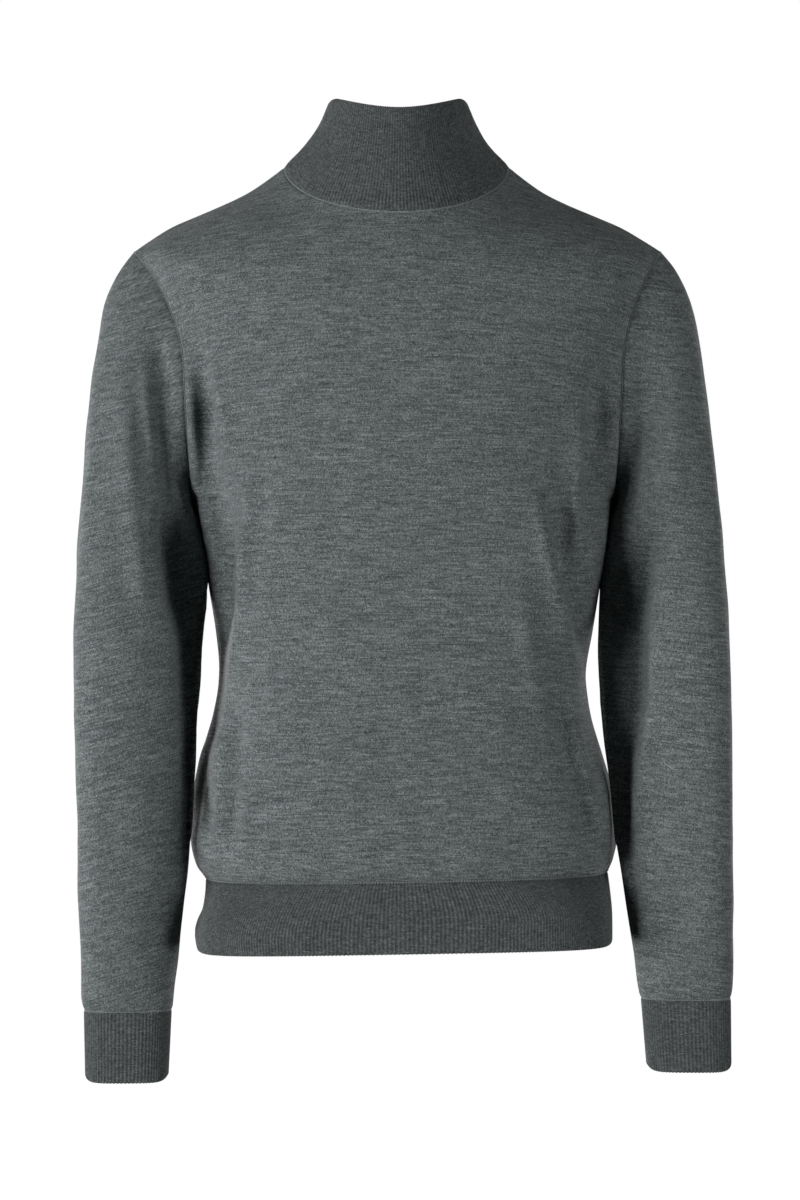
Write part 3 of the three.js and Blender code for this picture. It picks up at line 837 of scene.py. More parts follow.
@dataclass(frozen=True)
class KnitFinish:
    """A melange wool knit: its three fibre colours (linear), set darker for the rib as painted shade, its
    loops in millimetres, its nap, and the painted highlight and shade of the rib's crests and grooves.
    """

    name: str
    dark: tuple[float, float, float]
    middle: tuple[float, float, float]
    light: tuple[float, float, float]
    course: float = 0.95
    wale: float = 1.2
    grain: float = 1.05
    short: float = 2.4
    long: float = 18.0
    streak: float = 0.85
    cloud: float = 0.1
    bump: float = 0.35
    bump_depth: float = 0.25
    fibre_rise: float = 0.8
    stops: tuple[float, float, float] = (0.12, 0.48, 0.9)
    roughness: float = 0.9
    rough_drop: float = 0.1
    sheen: float = 0.1
    sheen_roughness: float = 0.45
    rib_pitch: float = 0.0
    # How far a rib's colour is lifted on its crests and darkened in its grooves: painted highlight and
    # painted shade.
    rib_shade: float = 0.0

    def material(self, melange: Tree, loops: Tree) -> Material:
        """Builds the finish.

        Args:
            melange: The group of fibre streaks.
            loops: The group of knit loops.

        Returns:
            The material.
        """
        made = bpy.data.materials.new(self.name)
        graph = fresh(made)
        knit = graph.add("ShaderNodeUVMap", uv_map=KNIT_MAP).outputs["UV"]
        sizes = {"Course": self.course, "Grain": self.grain, "Short": self.short, "Long": self.long}
        levels = {"Streak": self.streak, "Cloud": self.cloud}
        shade = graph.group(melange, {"Vector": knit, **sizes, **levels})
        # For a rib, a wave across the ribs lightens each crest and darkens each groove in colour: painted
        # highlight and painted shade.
        if self.rib_pitch:
            across = graph.add("ShaderNodeSeparateXYZ", {0: knit}).outputs["X"]
            turn = graph.math("MULTIPLY", across, TURN / (self.rib_pitch * MM))
            painted_crest_and_groove = graph.math("MULTIPLY", graph.math("COSINE", turn), self.rib_shade)
            shade = graph.math("ADD", shade, painted_crest_and_groove)
        loop = graph.group(loops, {"Vector": knit, "Course": self.course, "Wale": self.wale})
        height = graph.math("MULTIPLY_ADD", shade, self.fibre_rise, loop)
        depth = {"Strength": self.bump, "Distance": self.bump_depth * MM}
        low, centre, high = self.stops
        rough = (-self.rough_drop, self.roughness + self.rough_drop / 2)
        cloth = {
            "Base Color": graph.ramp(shade, (low, self.dark), (high, self.light), (centre, self.middle)),
            "Roughness": graph.math("MULTIPLY_ADD", shade, *rough),
            "Sheen Weight": self.sheen,
            "Sheen Roughness": self.sheen_roughness,
            "Normal": graph.first("ShaderNodeBump", {**depth, "Height": height}),
        }
        graph.wool(cloth)
        return made


@dataclass(frozen=True)
class YarnFinish:
    """Plain wool yarn of the linked seams, with a faint change of shade, set lighter than the cloth as
    painted light.
    """

    name: str
    dark: tuple[float, float, float]
    light: tuple[float, float, float]
    grain: float = 900.0
    bump: float = 0.3
    bump_depth: float = 0.2
    stops: tuple[float, float] = (0.3, 0.7)
    roughness: float = 0.9
    sheen: float = 0.1

    def material(self) -> Material:
        """Builds the finish.

        Returns:
            The material.
        """
        made = bpy.data.materials.new(self.name)
        graph = fresh(made)
        place = graph.add("ShaderNodeTexCoord").outputs["Object"]
        noise = graph.noise(place, Scale=self.grain, Detail=2.0)
        depth = {"Strength": self.bump, "Distance": self.bump_depth * MM}
        low, high = self.stops
        cloth = {
            "Base Color": graph.ramp(noise, (low, self.dark), (high, self.light)),
            "Roughness": self.roughness,
            "Sheen Weight": self.sheen,
            "Normal": graph.first("ShaderNodeBump", {**depth, "Height": noise}),
        }
        graph.wool(cloth)
        return made


JERSEY_KNIT = KnitFinish(
    "jersey_knit", (0.036, 0.042, 0.043), (0.094, 0.108, 0.109), (0.231, 0.256, 0.257)
)
# The rib is knit from the jersey's own wool; its colours are set darker than the jersey's as painted shade
# of its grooves.
RIB_KNIT = KnitFinish(
    "rib_knit", (0.023, 0.026, 0.0265), (0.057, 0.064, 0.0645), (0.133, 0.146, 0.147),
    # Each rib's crest is painted lighter and its groove darker: painted highlight and painted shade.
    long=6.0, streak=0.7, rib_pitch=2.3, rib_shade=0.09,
)
# The seam chains are the sweater's own wool, but their colours are set well lighter than the jersey's:
# painted light, so the chains read as lit lines.
SEAM_YARN = YarnFinish("seam_yarn", (0.16, 0.178, 0.18), (0.33, 0.358, 0.36))


def geometry_tree(name: str, sizes: dict[str, float]) -> Graph:
    """Starts a Geometry Nodes tree with a Geometry, named sizes and a Material."""
    inputs = {"Geometry": "Geometry", **sizes, "Material": "Material"}
    return new_tree("Geometry", name, inputs, ("Geometry", "Geometry"))


def finish_tree(graph: Graph, shape: Socket, material: Socket) -> Tree:
    """Ends a tree in Realize Instances and Set Material.

    Args:
        graph: The tree's graph.
        shape: What it has made.
        material: Its finish.

    Returns:
        The tree.
    """
    real = graph.first("GeometryNodeRealizeInstances", {"Geometry": shape})
    dressed = graph.first("GeometryNodeSetMaterial", {"Geometry": real, "Material": material})
    graph.add("NodeGroupOutput", {0: dressed})
    return graph.tree


def named(graph: Graph, name: str, kind: str = "FLOAT") -> Socket:
    """A named attribute's value in a Geometry Nodes tree."""
    return graph.first("GeometryNodeInputNamedAttribute", {"Name": name}, data_type=kind)


def rib_relief_tree() -> Tree:
    """Raises vertical ribs on a band, by the rib that each point lies on.

    Returns:
        A tree with the ribs' Rise in metres and their Roundness.
    """
    graph = geometry_tree("rib_relief", {"Rise": 0.0006, "Roundness": 0.8})
    given = graph.add("NodeGroupInput").outputs
    angle = graph.math("MULTIPLY", named(graph, RIB_TURN), TURN)
    wave = graph.math("MULTIPLY_ADD", graph.math("COSINE", angle), 0.5, 0.5)
    rounded = graph.math("POWER", wave, given["Roundness"])
    rise = graph.math("MULTIPLY", named(graph, RIB_RAISED), given["Rise"])
    lift = graph.math("MULTIPLY", rounded, rise)
    outward = graph.first("GeometryNodeInputNormal")
    offset = graph.first("ShaderNodeVectorMath", {0: outward, "Scale": lift}, operation="SCALE")
    moved = graph.first("GeometryNodeSetPosition", {"Geometry": given["Geometry"], "Offset": offset})
    return finish_tree(graph, moved, given["Material"])


def chain_stitch_tree() -> Tree:
    """Lays a chain of yarn loops along a seam line, flat on the cloth.

    Returns:
        A tree with the chain's Pitch, Loop Length, Loop Width, Yarn, Sway and Seed.
    """
    sizes = {"Pitch": 0.0021, "Loop Length": 0.0026, "Loop Width": 0.0014, "Yarn": 0.0005}
    graph = geometry_tree("chain_stitch", {**sizes, "Sway": 0.12, "Seed": 3})
    given = graph.add("NodeGroupInput").outputs
    line = graph.first("GeometryNodeMeshToCurve", {0: given["Geometry"]})
    spacing = {"Curve": line, "Length": given["Pitch"]}
    places = graph.first("GeometryNodeResampleCurve", spacing, mode="LENGTH")
    outward = {"Vector": named(graph, SEAM_NORMAL, "FLOAT_VECTOR")}
    upright = graph.first("FunctionNodeAlignRotationToVector", outward, axis="Z")
    tangent = {"Rotation": upright, "Vector": graph.first("GeometryNodeInputTangent")}
    ahead = graph.first("FunctionNodeAlignRotationToVector", tangent, axis="X", pivot_axis="Z")
    chance = graph.add("FunctionNodeRandomValue", {"Seed": given["Seed"]}, data_type="FLOAT").outputs[1]
    sway = graph.math("MULTIPLY", graph.math("SUBTRACT", chance, 0.5), given["Sway"])
    turn = graph.first("FunctionNodeEulerToRotation", {0: graph.vector(0.0, 0.0, sway)})
    swayed = graph.first(
        "FunctionNodeRotateRotation", {"Rotation": ahead, "Rotate By": turn}, rotation_space="LOCAL"
    )

    def circle(points: int, radius: Any) -> Socket:
        """A circle as a curve."""
        inputs = {"Resolution": points, "Radius": radius}
        return graph.first("GeometryNodeCurvePrimitiveCircle", inputs, mode="RADIUS")

    stretch = graph.vector(given["Loop Length"], given["Loop Width"], 1.0)
    oval = graph.first("GeometryNodeTransform", {"Geometry": circle(8, 0.5), "Scale": stretch})
    thread = circle(4, graph.math("MULTIPLY", given["Yarn"], 0.5))
    loop = graph.first("GeometryNodeCurveToMesh", {"Curve": oval, "Profile Curve": thread})
    laid = {"Points": places, "Instance": loop, "Rotation": swayed}
    return finish_tree(graph, graph.first("GeometryNodeInstanceOnPoints", laid), given["Material"])


def grow(obj: Piece, tree: Tree, values: dict[str, Any]) -> Piece:
    """Runs a Geometry Nodes tree on an object and keeps the result as a plain mesh.

    Args:
        obj: The object that carries the tree's points.
        tree: The tree.
        values: Its inputs by name.

    Returns:
        The same object with its new mesh and no modifier.
    """
    modifier = obj.modifiers.new(tree.name, "NODES")
    modifier.node_group = tree
    for item in tree.interface.items_tree:
        if item.item_type == "SOCKET" and item.in_out == "INPUT" and item.name in values:
            modifier[item.identifier] = values[item.name]
    bpy.context.view_layer.update()
    shown = obj.evaluated_get(bpy.context.evaluated_depsgraph_get())
    mesh = bpy.data.meshes.new_from_object(shown)
    obj.modifiers.remove(modifier)
    old, obj.data = obj.data, mesh
    bpy.data.meshes.remove(old)
    mesh.name = obj.name
    mesh.polygons.foreach_set("use_smooth", np.ones(len(mesh.polygons), bool))
    return obj


@dataclass(frozen=True)
class Stitch:
    """The loops of a seam chain, in millimetres."""

    pitch: float
    loop_length: float
    loop_width: float
    yarn: float

    def sizes(self) -> dict[str, float]:
        """The inputs of the chain's tree."""
        return {name.replace("_", " ").title(): size * MM for name, size in vars(self).items()}


SEAM_STITCH = Stitch(2.1, 2.6, 1.4, 0.5)
TRANSFER_STITCH = Stitch(2.3, 1.2, 1.7, 0.6)


@dataclass
class Workshop:
    """The finishes and the Geometry Nodes trees that the pieces share."""

    jersey: Material
    rib: Material
    yarn: Material
    rib_relief: Tree
    chain_stitch: Tree

    @classmethod
    def open(cls) -> Workshop:
        """Builds every finish and tree once.

        Returns:
            The workshop.
        """
        melange, loops = melange_group(), loops_group()
        jersey, rib = (knit.material(melange, loops) for knit in (JERSEY_KNIT, RIB_KNIT))
        return cls(jersey, rib, SEAM_YARN.material(), rib_relief_tree(), chain_stitch_tree())

    def chain(
        self, name: str, points: Array, normals: Array, closed: bool, slot: Slot,
        stitch: Stitch = SEAM_STITCH,
    ) -> Piece:
        """Makes a chain of stitches along a seam.

        Args:
            name: The piece's name.
            points: The seam line in millimetres.
            normals: The cloth's outward normals along it.
            closed: Whether the line closes on itself.
            slot: A material slot; not used.
            stitch: Its loops.

        Returns:
            The stitches as one piece.
        """
        count = len(points)
        edges = [(index, (index + 1) % count) for index in range(count if closed else count - 1)]
        mesh = bpy.data.meshes.new(name)
        mesh.from_pydata((points * MM).tolist(), edges, [])
        mark = mesh.attributes.new(SEAM_NORMAL, "FLOAT_VECTOR", "POINT")
        mark.data.foreach_set("vector", normals.astype(np.float32).ravel())
        obj = put(name, mesh)
        grow(obj, self.chain_stitch, {**stitch.sizes(), "Material": self.yarn})
        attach(obj, BODY)
        log.info("%s: %d faces", name, len(obj.data.polygons))
        return obj


def dress(obj: Piece, node: str) -> None:
    """Attaches a cloth piece to its body and hides the solid it stands for.

    Args:
        obj: The piece.
        node: The solid's node.
    """
    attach(obj, BODY)
    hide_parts(node)


@dataclass(frozen=True)
class Armhole:
    """How a panel's armhole runs: its bow, its drift outwards and the share of its height at the swing."""

    bow: float
    drift: float
    swing_from: float


ARMHOLES = {Face.FRONT: Armhole(55, 7, 0.5), Face.BACK: Armhole(52, 13, 0.4)}


@dataclass
class Body:
    """The front and back panels of plain jersey, and the seams between them, in millimetres."""

    hem_tilt = 3.0
    tilt_from = 440.0
    wall: float = 1.6
    columns: int = 168
    edge_crowd: float = 0.75
    hem_crowd: float = 0.5
    neck_crowd: float = 0.4
    trunk_rows: int = 98
    armhole_rows: int = 75
    shoulder_rows: int = 30
    course_fall: float = 0.4
    side_seam: SeamRelief = SeamRelief(0.3, 0.1)
    armhole_seam: SeamRelief = SeamRelief(0.3, 0.8)
    hem_seam: SeamRelief = SeamRelief(0.2, 0.4)
    neck_seam: SeamRelief = SeamRelief(0.2, 0.2)
    fold_hold: float = 9.0
    tuck_hold: float = 30.0
    tip_rows: int = 16
    ease_rows: int = 14
    ease_steps: int = 60
    sewn_from: float = 0.98
    chest: tuple[float, float] = (-300.0, -60.0)
    chain_up: float = 0.6
    chain_out: float = 0.9
    shoulder_run: tuple[float, float, int] = (0.05, 0.99, 40)
    shoulder_sink: float = 0.4
    hand_seed: int = 11
    cut: tuple[float, float] = (490.0, 640.0)

    def armhole(self, share: Array, side: Side, face: Face) -> Array:
        """The armhole's edge on one panel.

        Args:
            share: 0 at the armpit and 1 at the shoulder tip.
            side: The wearer's side.
            face: Front or back.

        Returns:
            Points as width, depth and height, all on the positive side.
        """
        run = ARMHOLES[face]
        armpit, tip = TRUNK.of_row(-1, side.word), SHOULDER.of_row(0, side.word)
        swing = smooth(share, run.swing_from, 1)
        drift = run.drift * np.minimum(share / run.swing_from, 1) * (1 - swing)
        x = armpit + drift + (tip - armpit) * swing
        y = run.bow * np.sin(np.pi * share)
        z = between(TRUNK.of_row(-1, "z"), SHOULDER.of_row(0, "z"), (1 - np.cos(np.pi * share)) / 2)
        return np.stack((x, y, z), axis=-1)

    def sections(self, face: Face) -> dict[str, Array]:
        """Every row of a panel from the hem to the neckline, as columns of sizes.

        Args:
            face: Front or back.

        Returns:
            One column for each size.
        """
        reach = face.word
        run = np.linspace(0, 1, self.trunk_rows, endpoint=False)
        trunk = TRUNK.at(between(run, run**2, self.hem_crowd))
        climb = np.linspace(0, 1, self.armhole_rows, endpoint=False)
        reach_up = np.linspace(0, 1, self.shoulder_rows + 1)
        shoulder = SHOULDER.at(between(reach_up, 1 - (1 - reach_up) ** 2, self.neck_crowd))
        depth = between(TRUNK.of_row(-1, reach), SHOULDER.of_row(0, reach), climb**2)
        centre = between(TRUNK.of_row(-1, "z"), SHOULDER.of_row(0, reach + "_z"), climb)
        nothing = np.zeros_like
        made = {
            "depth": (trunk[reach], depth, shoulder[reach]),
            "centre": (trunk["z"], centre, shoulder[reach + "_z"]),
            "square": (trunk["square"], TRUNK.of_row(-1, "square") * (1 - climb), nothing(reach_up)),
            "neck": (nothing(run), nothing(climb), shoulder["neck"]),
        }
        for side in Side:
            edge = self.armhole(climb, side, face)
            made[side.word + "_x"] = (trunk[side.word], edge[:, 0], shoulder[side.word])
            made[side.word + "_y"] = (nothing(run), edge[:, 1], nothing(reach_up))
            made[side.word + "_z"] = (trunk["z"], edge[:, 2], shoulder["z"])
        return {key: np.concatenate(parts)[:, None] for key, parts in made.items()}

    def plain(self, face: Face) -> Array:
        """The panel's smooth form as a grid of points, without its folds.

        Args:
            face: Front or back.

        Returns:
            The grid.
        """
        rows = self.sections(face)
        run = np.linspace(-1, 1, self.columns + 1)
        across = between(run, np.sin(run * math.pi / 2), self.edge_crowd)[None, :]
        share = np.abs(across)
        edge_x, edge_y, edge_z = (
            np.where(across < 0, rows["right" + axis], rows["left" + axis]) for axis in ("_x", "_y", "_z")
        )
        x, y = section(share, edge_x, edge_y, rows["depth"], rows["square"])
        x = np.sign(across) * x
        z = between(rows["centre"], edge_z, rise_of(share, rows["neck"]))
        return np.stack((x, face.value * y, z + tilt_at(x, z)), axis=-1)

    def ease(self, grid: Array, held: Array) -> None:
        """Rounds the turn from the chest into the shoulder slope, away from the panel's edges.

        Args:
            grid: The panel's points, which are moved.
            held: 0 where a point has to stay and 1 where it may move.
        """
        tip = self.trunk_rows + self.armhole_rows
        rows = slice(tip - self.ease_rows, tip + self.ease_rows)
        for _ in range(self.ease_steps):
            mean = (grid[rows.start - 1 : rows.stop - 1] + grid[rows.start + 1 : rows.stop + 1]) / 2
            grid[rows] = between(grid[rows], mean, 0.5 * held[rows][..., None])

    def knit(self, grid: Array, face: Face) -> Array:
        """Where each point lies on the knit: along its course, and up its wale.

        Args:
            grid: The panel's points.
            face: Front or back.

        Returns:
            Two lengths for each point.
        """
        across = lengths_along(grid, 1)
        across = across - across[:, [self.columns // 2]]
        sunk = TRUNK.of_row(-1, face.word) - face.value * grid[..., 1]
        chest = smooth(grid[..., 2], *self.chest)
        return np.stack((across, grid[..., 2] + self.course_fall * sunk * chest), axis=-1)

    def panel(self, face: Face) -> ClothWall:
        """A panel with its folds, its seams' relief and its wall.

        Args:
            face: Front or back.

        Returns:
            The wall.
        """
        grid = self.plain(face)
        across = lengths_along(grid, 1)
        beside = np.minimum(across, across[:, -1:] - across)
        held, tucked = smooth(beside, 0, self.fold_hold), smooth(beside, 0, self.tuck_hold)
        self.ease(grid, held)
        for tuck in BODY_TUCKS:
            if tuck.face is face:
                sewn = np.clip(grid[..., 2] / TRUNK.of_row(-1, "z"), 0, 1)
                near = between(tucked, held, smooth(sewn, self.sewn_from, 1))
                grid[..., 1] *= 1 - tuck.depth(grid[..., 0], grid[..., 2]) * near
        up = lengths_along(grid, 0)
        lift = sum(fold.height(grid[..., 0], grid[..., 2]) for fold in BODY_FOLDS if fold.face is face)
        lift = lift + ClothHand(self.hand_seed + face.value).height(grid)
        lift = lift * held * smooth(up, 0, self.fold_hold)
        lift = lift * smooth(up[-1:] - up, 0, self.fold_hold)
        row = np.arange(len(grid))
        tip = self.trunk_rows + self.armhole_rows
        by_sleeve = (row >= self.trunk_rows) & (row < tip)
        fading = smooth(tip - row, 1, self.tip_rows)[:, None]
        armhole = self.armhole_seam.height(beside) * fading
        sewn = np.where(by_sleeve[:, None], armhole, self.side_seam.height(beside))
        lift = lift + sewn + self.hem_seam.height(up) + self.neck_seam.height(up[-1:] - up)
        outer = grid + normals_of(grid, False) * lift[..., None]
        normals = normals_of(outer, False)
        level_ends(normals, np.flatnonzero(~by_sleeve))
        inner = outer - normals * self.wall
        return ClothWall("knit_" + face.word, outer, inner, self.knit(grid, face), False)

    def shoulder_line(self, side: Side) -> tuple[Array, Array]:
        """A shoulder seam and the normals along it, from the tip to the neck.

        Args:
            side: The wearer's side.

        Returns:
            The points and their normals.
        """
        rows = SHOULDER.at(np.linspace(*self.shoulder_run))
        x = side.value * rows[side.word]
        line = np.stack((x, np.zeros_like(x), rows["z"]), axis=-1)
        ahead = np.gradient(line, axis=0) * side.value
        normals = np.stack((ahead[:, 2], np.zeros_like(x), -ahead[:, 0]), axis=-1)
        return line, normals / np.linalg.norm(normals, axis=-1, keepdims=True)

    def build(self, shop: Workshop) -> None:
        """Builds both panels and the chains on them.

        Args:
            shop: The finishes and trees.
        """
        for face in Face:
            wall = self.panel(face)
            made = wall.build()
            made.data.materials.append(shop.jersey)
            out = normals_of(wall.outer, False)[2]
            line = wall.outer[0] + [0, 0, self.chain_up] + out * self.chain_out
            chains = [shop.chain("hem_chain_" + face.word, line, out, False, Slot.JERSEY, TRANSFER_STITCH)]
            if face is Face.BACK:
                for side in Side:
                    line, normals = self.shoulder_line(side)
                    line = line - normals * self.shoulder_sink
                    name = "shoulder_chain_" + side.word
                    chains.append(shop.chain(name, line, normals, False, Slot.JERSEY))
            dress(made, face.word)


def round_angles(count: int) -> Array:
    """A row of angles once round."""
    return np.arange(count)[None, :] * TURN / count


def ring_points(size: dict[str, Array], angle: Array, square: Any) -> Array:
    """Rings of a sleeve or cuff, drawn on the wearer's left.

    Args:
        size: Columns of sizes, one row for each ring.
        angle: Angles from the outer edge round the front.
        square: How full the rings' corners are.

    Returns:
        A grid with a row for each ring.
    """
    across = deep(angle, square)
    half = (size["outer"] - size["inner"]) / 2
    x = (size["outer"] + size["inner"]) / 2 + half * across
    z = (size["outer_z"] + size["inner_z"]) / 2 + (size["outer_z"] - size["inner_z"]) / 2 * across
    girth = (size["front"] + size["back"]) * wide(angle, square)
    y = (size["back"] - size["front"] - girth) / 2 - size["lean"] * half * across
    return np.stack((x, y, z), axis=-1)


@dataclass
class Sleeve:
    """A set-in sleeve of plain jersey, all round, in millimetres."""

    side: Side
    course_slope: float
    cut: tuple[float, float]
    wall: float = 1.6
    half_columns: int = 76
    rows: int = 170
    end_crowd: float = 0.5
    square: float = 0.03
    armhole_fade: float = 4.0
    chain_start: int = 3
    fold_top: float = 0.07
    fold_cuff: float = 0.1
    fold_side: float = 0.35
    seam: SeamRelief = SeamRelief(0.3, 0.1)
    under_seam_from: tuple[float, float] = (0.004, 0.02)
    chain_lift: float = 0.25
    hand_seed: int = 23

    def armhole_loop(self, body: Body) -> Array:
        """The body's armhole from the shoulder tip down the front to the armpit and up the back.

        Args:
            body: The body.

        Returns:
            Its points, drawn on the wearer's left.
        """
        step = np.arange(2 * self.half_columns)
        share = np.abs(1 - step / self.half_columns)
        front, back = (body.armhole(share, self.side, face) * [1, face.value, 1] for face in Face)
        return np.where((step <= self.half_columns)[:, None], front, back)

    def plain(self, body: Body) -> tuple[Array, Array]:
        """The sleeve's smooth form and the share of its length that each ring lies at.

        Args:
            body: The body that it is set into.

        Returns:
            The grid and the shares.
        """
        table = SLEEVES[self.side]
        run = np.linspace(0, 1, self.rows + 1)
        share = run - self.end_crowd * np.sin(TURN * run) / TURN
        grid = ring_points(table.down(share), round_angles(2 * self.half_columns), self.square)
        keep = np.maximum(0, 1 - share * (len(table.rows) - 1) / self.armhole_fade) ** 2
        grid = grid + keep[:, None, None] * (self.armhole_loop(body) - grid[0])
        grid[..., 0] *= self.side.value
        return np.roll(grid, self.half_columns, axis=1), share

    def build(self, shop: Workshop, body: Body) -> None:
        """Builds the sleeve and the chain round its armhole.

        Args:
            shop: The finishes and trees.
            body: The body that it is set into.
        """
        grid, share = self.plain(body)
        facing = np.sin(round_angles(2 * self.half_columns) + math.pi)
        middle = grid[..., 1].mean(axis=1, keepdims=True)
        for tuck in SLEEVE_TUCKS[self.side]:
            lost = np.where(facing * tuck.face.value < 0, tuck.depth(grid[..., 0], grid[..., 2]), 0)
            grid[..., 1] = between(grid[..., 1], middle, lost)
        lift = np.zeros(grid.shape[:2])
        for fold in SLEEVE_FOLDS[self.side]:
            height = fold.height(grid[..., 0], grid[..., 2])
            lift = lift + np.where(facing * fold.face.value < 0, height, 0)
        lift = lift * smooth(np.abs(facing), 0, self.fold_side)
        lift = lift + ClothHand(self.hand_seed + self.side.value).height(grid)
        lift = lift * (smooth(share, 0, self.fold_top) * smooth(1 - share, 0, self.fold_cuff))[:, None]
        up, around = lengths_along(grid, 0), lengths_along(grid, 1)
        girth = around[:, -1:] * (1 + 1 / (around.shape[1] - 1))
        under = np.minimum(around, girth - around)
        lift = lift + self.seam.height(up) + self.seam.height(up[-1:] - up)
        lift = lift + self.seam.height(under) * smooth(share, *self.under_seam_from)[:, None]
        outer = grid + normals_of(grid, True) * lift[..., None]
        inner = outer - normals_of(outer, True) * self.wall
        along = np.concatenate((around, girth), axis=1) - girth / 2
        ring = np.concatenate((grid, grid[:, :1]), axis=1)
        wale = ring[..., 2] + self.course_slope * np.abs(ring[..., 0])
        name = self.side.word
        knit = np.stack((along, wale), axis=-1)
        made = ClothWall("knit_sleeve_" + name, outer, inner, knit, True).build()
        made.data.materials.append(shop.jersey)
        normals = normals_of(outer, True)[3]
        line = outer[0] + normals * self.chain_lift
        sewn = slice(self.chain_start, 2 * self.half_columns - self.chain_start)
        chain = shop.chain("armhole_chain_" + name, line[sewn], normals[sewn], False, Slot.JERSEY)
        dress(made, "sleeve_" + name)


@dataclass
class RibBand:
    """A band of fine vertical ribs with a turned free edge, in millimetres; a subclass gives its form."""

    name: str
    node: str
    cut: tuple[float, float]
    closed: bool = True
    wall: float = 2.0
    pitch: float = 2.3
    points_per_rib: int = 4
    rows: int = 14
    rise: float = 0.55
    roundness: float = 0.8
    base_band: float = 0.0
    base_rise: float = 1.0
    seam_rise: float = 0.3
    seam_half: float = 2.5
    edge_height: float = 2.5
    edge_turn: tuple[float, ...] = (0, 0.12, 0.35, 0.7, 1)
    seam: SeamRelief = SeamRelief(0.2, 0, 1.2)
    step: SeamRelief = SeamRelief(0.45, 0, 1.6)

    def lines(self, share: Array, count: int) -> Array:
        """Points of the band's lines.

        Args:
            share: 0 at the seam and 1 at the free edge.
            count: Points, or spans of an open band, on each line.

        Returns:
            A grid with a row for each share.
        """
        raise NotImplementedError

    def rib_count(self) -> int:
        """How many whole ribs the band has, from its length half way up.

        Returns:
            Their number.
        """
        line = self.lines(np.array([0.5]), 256)
        length = lengths_along(line, 1)[0, -1]
        if self.closed:
            length += np.linalg.norm(line[0, 0] - line[0, -1])
        return round(length / self.pitch)

    def build(self, shop: Workshop, chains: list[Any]) -> None:
        """Builds the band, raises its ribs and dresses it.

        Args:
            shop: The finishes and trees.
            chains: The seam chains on it; not used.
        """
        ribs = self.rib_count()
        count = ribs * self.points_per_rib
        tall = lengths_along(self.lines(np.linspace(0, 1, self.rows), 16), 0)[-1].mean()
        turn = np.array(self.edge_turn[::-1]) * self.wall / 2
        share = np.concatenate((np.linspace(0, 1 - self.edge_height / tall, self.rows), 1 - turn / tall))
        grid = self.lines(share, count)
        up = lengths_along(grid, 0)
        left = up[-1:] - up
        half = self.wall / 2
        roll = half - np.sqrt(np.maximum(0, half**2 - np.maximum(0, half - left) ** 2))
        normals = normals_of(grid, self.closed)
        if not self.closed:
            level_ends(normals, np.arange(len(grid)))
        lift = self.seam.height(up) - roll
        raised = between(self.seam_rise, 1, smooth(up, 0, self.seam_half))
        if self.base_band:
            lift = lift + self.step.height(up - self.base_band)
            raised = raised * between(1, self.base_rise, smooth(self.base_band - up, -1, 1))
        outer = grid + normals * lift[..., None]
        inner = grid - normals * (self.wall - roll)[..., None]
        turns = np.arange(count + 1) / self.points_per_rib
        high = np.concatenate((up, up[:, :1]), axis=1) if self.closed else up
        knit = np.stack((np.broadcast_to(turns * self.pitch, high.shape), high), axis=-1)
        marks = {RIB_TURN: np.broadcast_to(turns[: up.shape[1]], up.shape), RIB_RAISED: raised}
        made = ClothWall(self.name, outer, inner, knit, self.closed, marks).build()
        sizes = {"Rise": self.rise * MM, "Roundness": self.roundness}
        grow(made, shop.rib_relief, {**sizes, "Material": shop.rib})
        dress(made, self.node)


@dataclass
class Collar(RibBand):
    """The high funnel collar, from the neckline to its turned top edge, with softly rounded corners."""

    corner: float = 5.0
    corner_from: float = 0.66

    def lines(self, share: Array, count: int) -> Array:
        """Lines round the collar.

        Args:
            share: 0 at the seam and 1 at the free edge.
            count: Points on each line.

        Returns:
            A grid with a row for each share.
        """
        row = COLLAR.down(share)
        angle = round_angles(count)
        ahead = np.cos(angle) >= 0
        reach = np.where(ahead, row["front"], row["back"])
        level = np.where(ahead, row["front_z"], row["back_z"])
        away = np.abs(np.arcsin(np.clip(np.sin(angle), -1, 1))) / (math.pi / 2)
        side = np.where(np.sin(angle) < 0, row["right"], row["left"])
        z = between(level, row["side_z"], rise_of(away, row["neck"]))
        z = z - self.corner * smooth(away, self.corner_from, 1) * share[:, None] ** 3
        return np.stack((side * np.sin(angle), -reach * np.cos(angle), z), axis=-1)


@dataclass
class Cuff(RibBand):
    """A cuff rib at the end of a sleeve."""

    side: Side = Side.LEFT
    corner_power: int = 6

    def lines(self, share: Array, count: int) -> Array:
        """Lines round the cuff.

        Args:
            share: 0 at the seam and 1 at the free edge.
            count: Points on each line.

        Returns:
            A grid with a row for each share.
        """
        row = CUFFS[self.side].down(share)
        angle = round_angles(count)
        grid = ring_points({**row, "outer_z": row["z"], "inner_z": row["z"]}, angle, row["square"])
        grid[..., 2] += row["lift"] * np.cos(angle) ** self.corner_power
        grid[..., 0] *= self.side.value
        return grid


@dataclass
class HemRib(RibBand):
    """The front or back half of the hem rib."""

    face: Face = Face.FRONT
    corner_power: int = 6

    def lines(self, share: Array, count: int) -> Array:
        """Lines across the half band.

        Args:
            share: 0 at the seam and 1 at the free edge.
            count: Spans on each line.

        Returns:
            A grid with a row for each share.
        """
        row = HEM.down(share)
        across = np.linspace(-1, 1, count + 1)[None, :]
        edge = np.where(across < 0, row["right"], row["left"])
        x, y = section(np.abs(across), edge, 0.0, row[self.face.word], row["square"])
        x = np.sign(across) * x
        z = row["z"] + row["lift"] * across**self.corner_power + tilt_at(x, row["z"])
        return np.stack((x, self.face.value * y, z), axis=-1)


